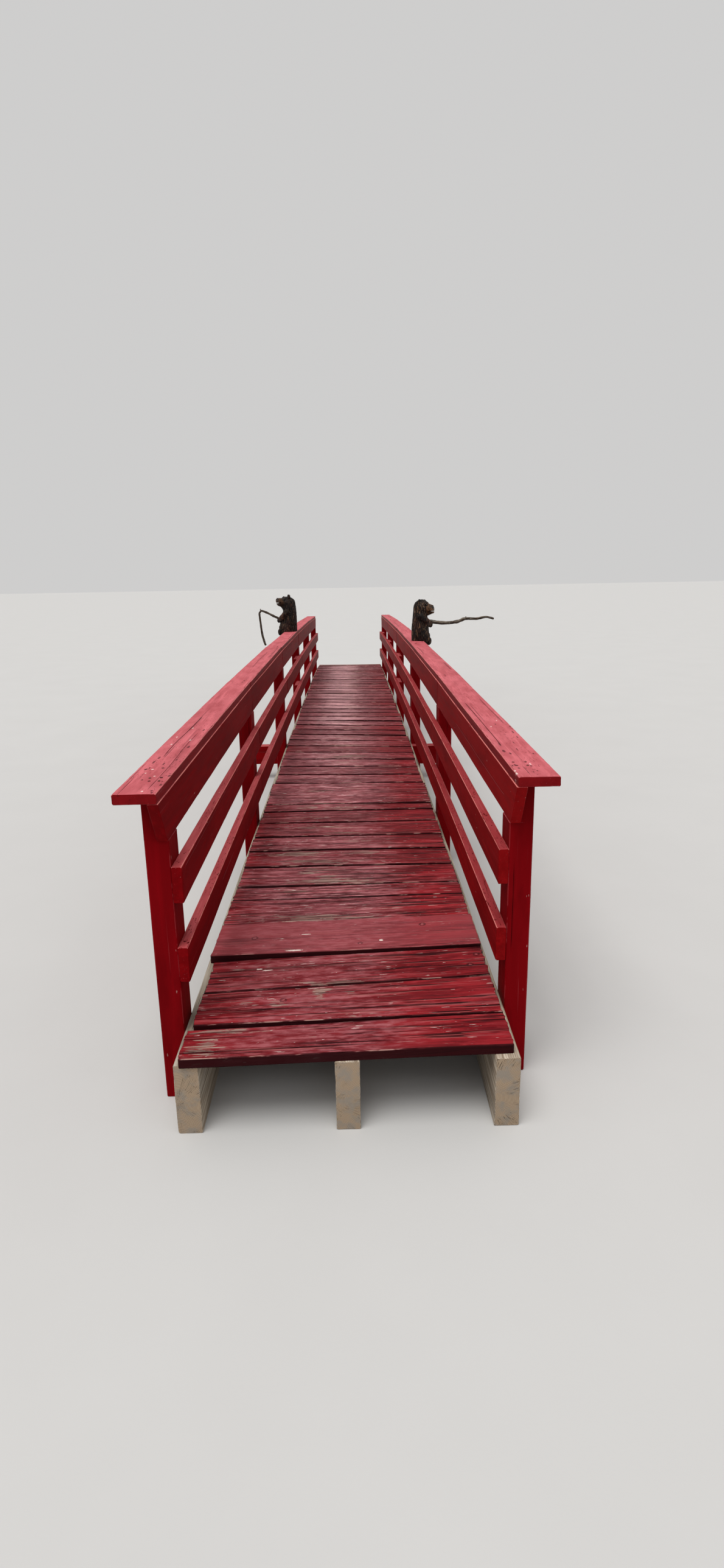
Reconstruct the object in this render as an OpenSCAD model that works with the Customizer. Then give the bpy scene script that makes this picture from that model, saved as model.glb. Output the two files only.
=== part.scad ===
// Cambered timber footbridge with post-and-rail sides.
// Millimetres, +Z up, +Y along the bridge, +X to the right of the near end.
// Origin: middle of the level seat under the middle beam's near end.

/* [Deck] */
// Length of the deck along the bridge
deck_len = 12880; // [6000:20:16000]
// Width of the deck, the length of one board
deck_w = 1200; // [900:10:2000]
// Number of boards
board_n = 48; // [24:1:72]
// Thickness of a board
board_t = 38; // [30:1:60]
// Room each board takes at the near end, where widths are mixed; the rest share what is left
near_w = [205, 265, 265, 330, 280, 160, 280, 265, 260, 275, 260, 165, 290]; // [100:5:400]
// How far each of those joints runs ahead at its right end, the first being the deck's own edge
near_lean = [40, 62, 100, 85, 70, 30, 24, 4, 0, 8, 0, 10, -20, -36]; // [-300:2:300]
// How far the joints along the middle of the deck run ahead at their right ends
mid_lean = -190; // [-300:5:300]
// How far the far edge of the deck runs ahead at its right end
end_lean = -60; // [-300:5:300]
// Open joint between neighbouring boards
board_gap = 14; // [5:1:25]
// Rise of the deck at mid-span
camber = 66; // [0:2:300]

/* [Beams] */
// Depth of a longitudinal beam
beam_d = 286; // [180:2:400]
// Thickness of a longitudinal beam
beam_w = 89; // [38:1:140]
// Length of the level seat cut under each beam end
seat_len = 300; // [100:10:600]

/* [Posts] */
// Posts on each side
post_n = 6; // [3:1:10]
// Spacing of the posts, centre to centre
post_pitch = 2440; // [1200:10:3000]
// Post size across the bridge
post_w = 89; // [70:1:150]
// Post size along the bridge
post_d = 140; // [80:1:200]
// Distance from the middle of the deck to the inner face of a post
post_in = 619; // [500:1:1000]
// How far the two rows of posts are staggered along the bridge
stagger = 114; // [0:2:400]

/* [Rails] */
// Top of the cap board above the deck
cap_h = 932; // [800:2:1150]
// Width of the cap board
cap_w = 150; // [120:1:240]
// Thickness of the cap board
cap_t = 38; // [25:1:60]
// Depth of the fascia board under the cap
fascia_d = 167; // [100:1:240]
// How far the cap sits back from the face of the fascia
cap_back = 4; // [0:1:20]
// Thickness of every rail
rail_t = 38; // [25:1:60]
// Depth of the middle and bottom rails
rail_d = 140; // [80:1:200]
// Underside of the middle rail above the deck
mid_h = 484; // [350:2:650]
// Underside of the bottom rail above the deck
low_h = 168; // [60:2:300]
// Butt joint between two rail lengths
joint = 3; // [1:1:8]
// How far cap and fascia run past the end posts
rail_over = 110; // [0:5:200]
// How far the raked end of the fascia is undercut
rake = 100; // [0:1:160]

/* [Splices and cross beams] */
// Length of a splice block behind a rail joint
splice_len = 420; // [200:10:800]
// Reach of a cross beam from the middle of the deck
cross_reach = 960; // [750:10:1300]
// Thickness of a cross beam
cross_w = 89; // [38:1:140]
// Depth of a cross beam
cross_d = 184; // [90:1:260]

/* [Carved bears] */
// Height of the left bear above the cap
bear_left_h = 445; // [300:5:700]
// Height of the right bear above the cap
bear_right_h = 408; // [300:1:700]
// Radius of the log the left bear is carved from
bear_left_r = 120; // [70:1:160]
// Radius of the log the right bear is carved from
bear_right_r = 110; // [70:1:160]
// How far each log hangs down over the outer edge of the cap
bear_drop = 44; // [0:1:80]
// Place of the left bear along the bridge
bear_left_y = 990; // [-5000:10:5000]
// Place of the right bear along the bridge
bear_right_y = -820; // [-5000:10:5000]
// Reach of the left fishing pole beyond the bear's middle
pole_left_reach = 346; // [250:2:600]
// Reach of the right fishing pole beyond the bear's middle
pole_right_reach = 740; // [400:10:1000]
// Radius of the left fishing pole
pole_left_r = 15; // [8:1:30]
// Radius of the right fishing pole
pole_right_r = 19; // [8:1:35]

/* [Hidden] */
half = deck_len/2;
near_n = len(near_w);
pitch = (deck_len - sum(near_w, near_n))/(board_n - near_n);   // one regular board and its joint
seat = camber*(1 - pow((half - seat_len)/half, 2));   // depth sawn off at a seat
top0 = beam_d + board_t - seat;      // deck top at the two ends
first = -(post_n-1)*post_pitch/2;
cap_in = post_in + cap_back;
$fn = 48;

function sum(v, n) = n < 1 ? 0 : v[n - 1] + sum(v, n - 1);   // of the first n
function rise(y) = camber*(1 - (y/half)*(y/half));
// post k on the left (s = -1) or right (s = 1) side
function py(s, k) = first + k*post_pitch + s*stagger/2;
function top(y) = top0 + rise(y);
function slope(y) = atan(-2*camber*y/(half*half));
// height of the straight line between posts k and k + 1, at deck level
function chord(s, k, y) = top0 + rise(py(s, k)) + (y - py(s, k))*(rise(py(s, k + 1)) - rise(py(s, k)))/post_pitch;

red = [0.55, 0.09, 0.10];
cap_red = [0.78, 0.38, 0.42];
deck_red = [0.55, 0.17, 0.21];
bare = [0.72, 0.66, 0.56];
bear_brown = [0.14, 0.09, 0.07];

// a profile drawn in the Y-Z plane, pulled from x0 to x1
module yz(x0, x1) { translate([x0, 0, 0]) rotate([90, 0, 90]) linear_extrude(x1 - x0) children(); }

// one longitudinal beam, sawn to the camber, with a level seat at each end
module beam(x) {
  n = 24;
  color(bare) yz(x - beam_w/2, x + beam_w/2)
    polygon(concat(
      [for (i = [0:n]) let (y = -half + i*deck_len/n) [y, top(y) - board_t]],
      [[half, 0], [half - seat_len, 0]],
      [for (i = [n-1:-1:1]) let (y = -half + i*deck_len/n) [y, rise(y) - seat]],
      [[-half + seat_len, 0], [-half, 0]]));
}

// where board i begins, at the middle of the deck
function edge(i) = -half + (i <= near_n ? sum(near_w, i) : sum(near_w, near_n) + pitch*(i - near_n));
// how far that joint runs ahead at the right: it drifts over eight boards, holds, and comes back over the last ten
function lean(i) = i <= near_n ? near_lean[i]
  : i < near_n + 8 ? near_lean[near_n] + (mid_lean - near_lean[near_n])*(i - near_n)/8
  : i < board_n - 10 ? mid_lean : mid_lean + (end_lean - mid_lean)*(i - board_n + 10)/10;

// one deck board between two joints, laid on the curve of the deck
module board(i) {
  y0 = edge(i); y1 = edge(i + 1); y = (y0 + y1)/2; g = board_gap/2; w = deck_w/2; a = lean(i)/2; b = lean(i + 1)/2;
  translate([0, y, top(y)]) rotate([slope(y), 0, 0]) translate([0, 0, -board_t]) linear_extrude(board_t)
    polygon([[-w, y0 - y - a + g], [w, y0 - y + a + g], [w, y1 - y + b - g], [-w, y1 - y - b - g]]);
}
module deck(g) {
  n = board_n/6;
  color(deck_red) for (i = [g*n : (g + 1)*n - 1]) board(i);
}

// one post, notched at the top so the fascia finishes flush with its face
module post(s, k) {
  y = py(s, k);
  zb = max(0, rise(y) - seat);
  zt = top(y) + cap_h - cap_t - 2;
  xo = s > 0 ? post_in : -post_in - post_w;
  color(red) difference() {
    translate([xo, y - post_d/2, zb]) cube([post_w, post_d, zt - zb]);
    translate([s > 0 ? post_in - 1 : -post_in - rail_t, y - post_d/2 - 1, zt - fascia_d])
      cube([rail_t + 1, post_d + 2, fascia_d + 10]);
  }
}

// straight lengths of board from post to post; over: run past the end posts
module run(s, x0, x1, z0, z1, over, undercut = 0) {
  for (k = [0 : post_n - 2]) {
    a = k == 0; b = k == post_n - 2;
    ya = a ? py(s, 0) - post_d/2 - over : py(s, k) + joint/2;
    yb = b ? py(s, k + 1) + post_d/2 + over : py(s, k + 1) - joint/2;
    yz(s > 0 ? x0 : -x1, s > 0 ? x1 : -x0) polygon([
      [ya + (a ? undercut : 0), chord(s, k, ya) + z0], [yb - (b ? undercut : 0), chord(s, k, yb) + z0],
      [yb, chord(s, k, yb) + z1], [ya, chord(s, k, ya) + z1]]);
  }
}
module fascia(s) {
  color(red) run(s, post_in, post_in + rail_t, cap_h - cap_t - fascia_d, cap_h - cap_t, rail_over, rake);
}
module cap(s) {
  color(cap_red) run(s, cap_in, cap_in + cap_w, cap_h - cap_t, cap_h, rail_over);
}
module rail(s, h) {
  color(red) run(s, post_in - rail_t, post_in, h, h + rail_d, 0);
}

// block behind a rail, against the near face of post k
module splice(s, k, h) {
  y1 = py(s, k) - post_d/2; y0 = y1 - splice_len;
  color(red) yz(s > 0 ? post_in : -post_in - rail_t, s > 0 ? post_in + rail_t : -post_in)
    polygon([[y0, chord(s, k - 1, y0) + h], [y1, chord(s, k - 1, y1) + h],
      [y1, chord(s, k - 1, y1) + h + rail_d], [y0, chord(s, k - 1, y0) + h + rail_d]]);
}

// short beam bolted beside a post and standing out from the side of the deck
module cross_beam(s, y0) {
  zt = top(y0) - board_t - 8;
  color(red) translate([s > 0 ? post_in : -cross_reach, y0, zt - cross_d])
    cube([cross_reach - post_in, cross_w, cross_d]);
}

// sitting bear carved from one log, drawn facing +X with the cap surface at z = 0
// h: height, r: log radius, e: edge of the cap, beyond which the log hangs down
module bear_shape(h, r, e) {
  difference() {
    union() {
      // trunk and straight back
      rotate_extrude() polygon([[0, -bear_drop], [r, -bear_drop], [r, h*0.20], [r*0.99, h*0.45], [r*0.95, h*0.62],
        [r*0.84, h*0.76], [r*0.58, h*0.88], [r*0.25, h*0.94], [0, h*0.95]]);
      // head, muzzle and nose
      translate([r*0.08, 0, h*0.78]) sphere(r = r*0.72);
      translate([r*0.45, 0, h*0.80]) rotate([0, 84, 0]) cylinder(r1 = r*0.44, r2 = r*0.30, h = r*0.48);
      translate([r*0.88, 0, h*0.835]) sphere(r = r*0.20);
      // ears
      for (s = [-1, 1]) translate([-r*0.05, s*r*0.46, h*0.94]) sphere(r = r*0.22);
      // forelegs bent to the pole
      for (s = [-1, 1]) {
        translate([r*0.20, s*r*0.62, h*0.55]) sphere(r = r*0.36);
        translate([r*0.20, s*r*0.62, h*0.55]) rotate([0, 124, -s*24]) cylinder(r1 = r*0.32, r2 = r*0.24, h = r*0.80);
        translate([r*0.84, s*r*0.27, h*0.345]) sphere(r = r*0.25);
      }
      // hind legs and feet
      for (s = [-1, 1]) {
        translate([r*0.40, s*r*0.58, h*0.14]) sphere(r = r*0.44);
        translate([r*0.40, s*r*0.56, r*0.02]) rotate([0, 90, 0]) cylinder(r = r*0.26, h = r*0.56);
        translate([r*0.88, s*r*0.54, r*0.02]) sphere(r = r*0.24);
      }
    }
    translate([-2*r, -2*r, -h]) cube([2*r + e, 4*r, h]);
  }
}
module bear(s, y, h, r, x) {
  translate([s*x, y, seat_z(s, y)]) rotate([0, 0, s > 0 ? 0 : 180])
    color(bear_brown) resize([0, 2*r, 0]) bear_shape(h, r, cap_in + cap_w + 2 - x, $fn = 18);
}
bear_left_x = cap_in + bear_left_r - 3;
bear_right_x = cap_in + bear_right_r + 15;
// cap surface under a bear
function seg(s, y) = max(0, min(post_n - 2, floor((y - py(s, 0))/post_pitch)));
function seat_z(s, y) = chord(s, seg(s, y), y) + cap_h + 1;

// fishing pole: a crooked branch held in the paws; p: [out, up], w: thickness
module branch(s, x, y, p, w, r) {
  color(bear_brown) translate([s*x, y, seat_z(s, y)]) rotate([0, 0, s > 0 ? 0 : 180])
    resize([0, 1.9*r, 0]) for (i = [0 : len(p) - 2]) hull() for (j = [i, i + 1])
      translate([p[j][0], 0, p[j][1]]) sphere(r = r*w[j], $fn = 14);
}
module pole_left() {
  e = pole_left_reach; h = bear_left_h; r = bear_left_r;
  branch(-1, bear_left_x, bear_left_y,
    [[r*1.22, h*0.38], [e*0.68, h*0.51], [e*0.93, h*0.58], [e, h*0.49], [e*0.94, h*0.13], [e*0.91, -h*0.08], [e*0.80, -h*0.40]],
    [1, 0.90, 0.80, 0.80, 0.85, 0.90, 0.95], pole_left_r);
}
module pole_right() {
  e = pole_right_reach; h = bear_right_h; r = bear_right_r;
  branch(1, bear_right_x, bear_right_y,
    [[r*1.27, h*0.44], [e*0.37, h*0.41], [e*0.50, h*0.44], [e*0.60, h*0.51], [e*0.75, h*0.50], [e*0.89, h*0.54], [e, h*0.49]],
    [1, 0.95, 0.90, 0.85, 0.80, 0.72, 0.62], pole_right_r);
}

// the whole bridge is built about its middle, then moved to its near seat
module place() { translate([0, half - seat_len/2, 0]) children(); }

place() beam(-(post_in - beam_w/2));  // beam_left
place() beam(0);  // beam_middle
place() beam(post_in - beam_w/2);  // beam_right
place() deck(0);  // deck_1
place() deck(1);  // deck_2
place() deck(2);  // deck_3
place() deck(3);  // deck_4
place() deck(4);  // deck_5
place() deck(5);  // deck_6
place() post(-1, 0);  // post_left_1
place() post(-1, 1);  // post_left_2
place() post(-1, 2);  // post_left_3
place() post(-1, 3);  // post_left_4
place() post(-1, 4);  // post_left_5
place() post(-1, 5);  // post_left_6
place() post(1, 0);  // post_right_1
place() post(1, 1);  // post_right_2
place() post(1, 2);  // post_right_3
place() post(1, 3);  // post_right_4
place() post(1, 4);  // post_right_5
place() post(1, 5);  // post_right_6
place() fascia(-1);  // fascia_left
place() fascia(1);  // fascia_right
place() cap(-1);  // cap_left
place() cap(1);  // cap_right
place() rail(-1, mid_h);  // mid_rail_left
place() rail(1, mid_h);  // mid_rail_right
place() rail(-1, low_h);  // low_rail_left
place() rail(1, low_h);  // low_rail_right
place() { splice(-1, 3, mid_h); splice(-1, 3, low_h); }  // splices_left
place() { for (k = [3 : 5]) splice(1, k, mid_h); splice(1, 3, low_h); }  // splices_right
place() cross_beam(-1, py(-1, 2) + post_d/2 + 1);  // cross_beam_left
place() cross_beam(1, py(1, 2) - post_d/2 - 1 - cross_w);  // cross_beam_right
place() bear(-1, bear_left_y, bear_left_h, bear_left_r, bear_left_x);  // bear_left
place() bear(1, bear_right_y, bear_right_h, bear_right_r, bear_right_x);  // bear_right
place() pole_left();
place() pole_right();
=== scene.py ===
import bpy, bmesh, math
import numpy as np
from mathutils import Vector, Matrix, noise as mn


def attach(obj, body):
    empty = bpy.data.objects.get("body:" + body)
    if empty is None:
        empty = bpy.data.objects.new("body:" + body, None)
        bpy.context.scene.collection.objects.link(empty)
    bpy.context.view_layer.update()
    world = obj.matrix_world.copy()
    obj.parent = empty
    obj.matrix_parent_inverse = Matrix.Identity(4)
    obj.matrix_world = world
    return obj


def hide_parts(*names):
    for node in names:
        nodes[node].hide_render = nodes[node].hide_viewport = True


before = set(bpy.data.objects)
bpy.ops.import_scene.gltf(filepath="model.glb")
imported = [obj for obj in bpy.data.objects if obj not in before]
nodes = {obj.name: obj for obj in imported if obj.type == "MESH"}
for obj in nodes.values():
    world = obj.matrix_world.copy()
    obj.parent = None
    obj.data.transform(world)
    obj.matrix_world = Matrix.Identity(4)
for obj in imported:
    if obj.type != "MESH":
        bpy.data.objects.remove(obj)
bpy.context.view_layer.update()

# ---------------------------------------------------------------- dimensions, metres
LEN, Y0, CAMB = 12.88, -0.15, 0.066
H2 = LEN / 2
YM = Y0 + H2
SEAT = CAMB * (1 - ((H2 - 0.3) / H2) ** 2)
TOP0 = 0.286 + 0.038 - SEAT
NEAR_W = (.205, .265, .265, .330, .280, .160, .280, .265, .260, .275, .260, .165, .290)
NEAR_LEAN = (.040, .062, .100, .085, .070, .030, .024, .004, 0, .008, 0, .010, -.020, -.036)
MID_LEAN, END_LEAN, NB_ = -0.190, -0.060, 48
PITCH = (LEN - sum(NEAR_W)) / (NB_ - 13)
POST_IN, POST_W, POST_D, SP = 0.619, 0.089, 0.140, 2.44
RAIL_T, RAIL_D, MID_H, LOW_H = 0.038, 0.140, 0.484, 0.168
CAP_H, CAP_T, CAP_W, CAP_IN, FAS_D = 0.932, 0.038, 0.150, 0.623, 0.167
OVER, RAKE = 0.110, 0.100


def rise(y):
    return CAMB * (1 - ((y - YM) / H2) ** 2)


def top(y):
    return TOP0 + rise(y)


def py(s, k):
    return YM - 6.1 + SP * k + 0.057 * s


def chord(s, k, y):
    a, b = py(s, k), py(s, k + 1)
    return top(a) + (y - a) * (top(b) - top(a)) / SP


def seg(s, y):
    return max(0, min(4, int(math.floor((y - py(s, 0)) / SP))))


# ---------------------------------------------------------------- smooth noise on arrays
def vn(x, seed, n=997):
    r = np.random.RandomState(seed).uniform(-1, 1, n)
    x = np.asarray(x, float)
    i = np.floor(x).astype(int)
    f = x - i
    f = f * f * (3 - 2 * f)
    return r[i % n] * (1 - f) + r[(i + 1) % n] * f


def vn2(x, y, seed, n=89):
    r = np.random.RandomState(seed).uniform(-1, 1, (n, n))
    x, y = np.broadcast_arrays(np.asarray(x, float), np.asarray(y, float))
    i, j = np.floor(x).astype(int), np.floor(y).astype(int)
    f, g = x - i, y - j
    f, g = f * f * (3 - 2 * f), g * g * (3 - 2 * g)
    i0, i1, j0, j1 = i % n, (i + 1) % n, j % n, (j + 1) % n
    return (r[i0, j0] * (1 - f) + r[i1, j0] * f) * (1 - g) + (r[i0, j1] * (1 - f) + r[i1, j1] * f) * g


# ---------------------------------------------------------------- one sawn timber
def columns(half, r, n, cr, near=0.006):
    """places across one face: rounded edge, support loop, body, and three columns a crack"""
    base = [-half + r, -half + r + near] + list(np.linspace(-half, half, n + 2)[1:-1]) + [half - r - near, half - r]
    base = [t for k, t in enumerate(base)
            if k in (0, 1, len(base) - 2, len(base) - 1) or all(abs(t - c["pos"]) > 0.004 for c in cr)]
    out = [(t, -1, 0) for t in base]
    for i, c in enumerate(cr):
        for role in (-1, 0, 1):
            out.append((c["pos"] + role * 0.0005, i, role))
    out.sort()
    return out


def plank(L, W, T, seed, step=0.03, ca=6, cb=2, r=0.0025, top_cr=(), side_cr=(), fibre=0.00025,
          bow=0.0008, chip=0.0016, ragged=0.0, endr=0.002, drift=0.004, off=None):
    """verts as (l, a, b): along the timber, across its width W, through its thickness T"""
    rs = np.random.RandomState(seed)
    r = min(r, T * 0.3)
    A_ = columns(W / 2, r, ca, top_cr)
    B_ = columns(T / 2, r, cb, side_cr, near=min(0.005, T * 0.12))
    na, nb = len(A_), len(B_)
    ns = max(3, int(round((L - 2 * endr) / step)) + 1)
    mid = np.linspace(endr, L - endr, ns)
    mid[1:-1] += rs.uniform(-0.2, 0.2, ns - 2) * (mid[1] - mid[0])
    ls = np.concatenate([[0.0], mid, [L]])
    S = len(ls)
    # the ring, clockwise from the top left
    per = []  # (a, b, normal a, normal b, kind, crack, role, i, j)
    q = math.sqrt(0.5)
    for i in range(na):
        per.append((A_[i][0], T / 2, 0, 1, "t", A_[i][1], A_[i][2], i + 1, nb + 1))
    per.append((W / 2 - r + r * q, T / 2 - r + r * q, q, q, "c", -1, 0, na + 1, nb + 1))
    for j in range(nb - 1, -1, -1):
        per.append((W / 2, B_[j][0], 1, 0, "r", B_[j][1], B_[j][2], na + 1, j + 1))
    per.append((W / 2 - r + r * q, -T / 2 + r - r * q, q, -q, "c", -1, 0, na + 1, 0))
    for i in range(na - 1, -1, -1):
        per.append((A_[i][0], -T / 2, 0, -1, "b", A_[i][1], A_[i][2], i + 1, 0))
    per.append((-W / 2 + r - r * q, -T / 2 + r - r * q, -q, -q, "c", -1, 0, 0, 0))
    for j in range(nb):
        per.append((-W / 2, B_[j][0], -1, 0, "l", B_[j][1], B_[j][2], 0, j + 1))
    per.append((-W / 2 + r - r * q, T / 2 - r + r * q, -q, q, "c", -1, 0, 0, nb + 1))
    P = len(per)
    a0 = np.array([p[0] for p in per]); b0 = np.array([p[1] for p in per])
    nA = np.array([p[2] for p in per], float); nB = np.array([p[3] for p in per], float)
    kind = [p[4] for p in per]
    l = np.repeat(ls[:, None], P, 1)
    A = np.repeat(a0[None], S, 0); B = np.repeat(b0[None], S, 0)
    per_len = np.cumsum(np.r_[0, np.hypot(np.diff(a0), np.diff(b0))])
    # the grain wanders along the timber
    winA = np.clip(1 - (2 * a0 / W) ** 2, 0, 1); winB = np.clip(1 - (2 * b0 / T) ** 2, 0, 1)
    g1 = vn(ls * 2.3 + rs.uniform(0, 99), seed + 1)[:, None]
    g2 = vn(ls * 2.1 + rs.uniform(0, 99), seed + 2)[:, None]
    isA = np.array([k in "tb" for k in kind]); isB = np.array([k in "lr" for k in kind])
    A += np.where(isA, drift * g1 * winA, 0)
    B += np.where(isB, min(drift, T * 0.06) * g2 * winB, 0)
    # raised grain and small hollows
    D = fibre * vn2(l * 7, per_len[None] * 260 + seed, seed + 3) + 2.0 * fibre * vn2(l * 2.2, per_len[None] * 40, seed + 4)
    crk = np.zeros((S, P))
    for p in range(P):
        if per[p][5] < 0:
            continue
        c = (top_cr if kind[p] in "tb" else side_cr)[per[p][5]]
        if c.get("face", "tl"[kind[p] in "lr"]) != kind[p]:
            env = np.zeros(S)
        else:
            env = np.clip((ls - c["l0"]) / 0.05, 0, 1) * np.clip((c["l1"] - ls) / 0.05, 0, 1)
            env = env ** 0.7 * (0.8 + 0.2 * vn(ls * 25, seed + 7 + p))
        if per[p][6] == 0:
            D[:, p] -= c["d"] * env
            crk[:, p] = env
        else:
            (A if kind[p] in "tb" else B)[:, p] += per[p][6] * c["w"] * env
            crk[:, p] = env * 0.25
    # edges knocked and worn
    n1 = vn(ls * 38 + 5, seed + 11)[:, None] * 0.6 + vn(ls * 9 + 2, seed + 12)[:, None] * 0.4
    for p in range(P):
        if kind[p] == "c":
            w = vn(ls * 31 + p * 7, seed + 13 + p) * 0.55 + vn(ls * 7 + p, seed + 14 + p) * 0.45
            D[:, p] -= chip * (0.25 + np.clip(w, 0, 1) * 1.2) + chip * 2.2 * np.clip(w - 0.55, 0, 1)
    A += D * nA; B += D * nB
    # a slight bow
    A += (bow * vn(ls * 0.9 + 3, seed + 21))[:, None]
    B += (bow * 0.8 * vn(ls * 1.1 + 8, seed + 22))[:, None]
    # ends: softened, and torn where asked
    rag = lambda a, e: ragged * np.clip(0.45 + 0.55 * vn(a * 95 + 50, seed + 31 + e) + 0.35 * vn(a * 330 + 9, seed + 33 + e), 0, 1.2)
    for e, (i0, i1) in enumerate(((0, 1), (S - 1, S - 2))):
        ins = 1 - 2 * endr * 0.8 / np.array([W, T])
        A[i0] = A[i1] * ins[0]; B[i0] = B[i1] * ins[1]
    if ragged:
        z = 0.03
        l = l + rag(A, 0) * np.clip(1 - l / z, 0, 1)
        l = l - rag(A, 1) * np.clip(1 - (L - l) / z, 0, 1)
    V = [np.stack([l, A, B], -1).reshape(-1, 3)]
    edge = np.array([1.0 if k == "c" else 0.0 for k in kind])
    for p in range(P):
        if kind[p] != "c" and (kind[p - 1] == "c" or kind[(p + 1) % P] == "c"):
            edge[p] = 0.85
    E = np.repeat(edge[None], S, 0)
    E[0] = 0.9; E[-1] = 0.9
    att = [np.stack([E, crk], -1).reshape(-1, 2)]
    idx = np.arange(S * P).reshape(S, P)
    i0 = idx[:-1]; i1 = idx[1:]
    F = [np.stack([i0, np.roll(i0, -1, 1), np.roll(i1, -1, 1), i1], -1).reshape(-1, 4)]
    # end grain: a grid that shares the ring
    base = S * P
    for e, row in enumerate((0, S - 1)):
        G = np.full((na + 2, nb + 2), -1)
        for p in range(P):
            G[per[p][7], per[p][8]] = idx[row, p]
        ia, ib = np.meshgrid(np.arange(na), np.arange(nb), indexing="ij")
        aa = np.array([c[0] for c in A_])[ia] * (1 - 2 * endr * 0.8 / W)
        bb = np.array([c[0] for c in B_])[ib] * (1 - 2 * endr * 0.8 / T)
        topb = B[row][:na][ia] - 0.0006
        bb = np.minimum(bb, topb)
        le = ls[row] + (0.0006 * vn2(aa * 300 + 40, bb * 300 + 40, seed + 41 + e)) * (1 if e == 0 else -1)
        if ragged:
            le = le + (rag(aa, e) if e == 0 else -rag(aa, e)) * 0.98
            le = np.clip(le, 0, L)
        le = np.clip(le, 0.0, L)
        G[1:-1, 1:-1] = base + np.arange(na * nb).reshape(na, nb)
        V.append(np.stack([le, aa, bb], -1).reshape(-1, 3))
        att.append(np.tile([[0.25, 0.0]], (na * nb, 1)))
        base += na * nb
        q4 = np.stack([G[:-1, :-1], G[1:, :-1], G[1:, 1:], G[:-1, 1:]], -1).reshape(-1, 4)
        F.append(q4 if e == 0 else q4[:, ::-1])
    V = np.concatenate(V); att = np.concatenate(att); F = np.concatenate(F)
    # texture place along the grain, shifted so no two timbers match
    off = rs.uniform(0, 40, 3) if off is None else np.array(off, float)
    pl = V + off
    return V, F, pl, att, rs.uniform(0, 1)


class Piece:
    """one visible piece: many timbers joined in one mesh"""

    def __init__(self, name):
        self.name, self.V, self.F, self.PL, self.PW, self.X, self.n = name, [], [], [], [], [], 0

    def add(self, got, fn, extra=None):
        V, F, pl, att, rnd = got
        W = np.stack(fn(V[:, 0], V[:, 1], V[:, 2]), -1)
        # keep faces outward when the mapping mirrors
        a, b, c = [np.array(fn(*[np.array([t]) for t in p])).ravel() for p in ((0.1, 0, 0), (0.101, 0, 0), (0.1, 0.001, 0))]
        d = np.array(fn(*[np.array([t]) for t in (0.1, 0, 0.001)])).ravel()
        if np.dot(np.cross(b - a, c - a), d - a) < 0:
            F = F[:, ::-1]
        self.V.append(W); self.F.append(F + self.n); self.n += len(V)
        self.PL.append(pl)
        self.PW.append(np.column_stack([att, np.full(len(V), rnd)]))
        self.X.append(np.zeros((len(V), 3)) if extra is None else extra(W, V))

    def build(self, material, node=None, sharp=38):
        V = np.concatenate(self.V); F = np.concatenate(self.F)
        me = bpy.data.meshes.new(self.name)
        me.vertices.add(len(V)); me.vertices.foreach_set("co", V.astype(np.float32).ravel())
        me.loops.add(F.size); me.loops.foreach_set("vertex_index", F.astype(np.int32).ravel())
        me.polygons.add(len(F)); me.polygons.foreach_set("loop_start", np.arange(0, F.size, F.shape[1], dtype=np.int32))
        me.update(calc_edges=True); me.validate()
        for nm, dat in (("pl", self.PL), ("pw", self.PW), ("px", self.X)):
            at = me.attributes.new(nm, "FLOAT_VECTOR", "POINT")
            at.data.foreach_set("vector", np.concatenate(dat).astype(np.float32).ravel())
        me.polygons.foreach_set("use_smooth", np.ones(len(me.polygons), bool))
        me.set_sharp_from_angle(angle=math.radians(sharp))
        o = bpy.data.objects.new(self.name, me)
        bpy.context.scene.collection.objects.link(o)
        me.materials.append(material)
        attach(o, "root")
        if node:
            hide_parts(*([node] if isinstance(node, str) else node))
        return o


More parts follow.
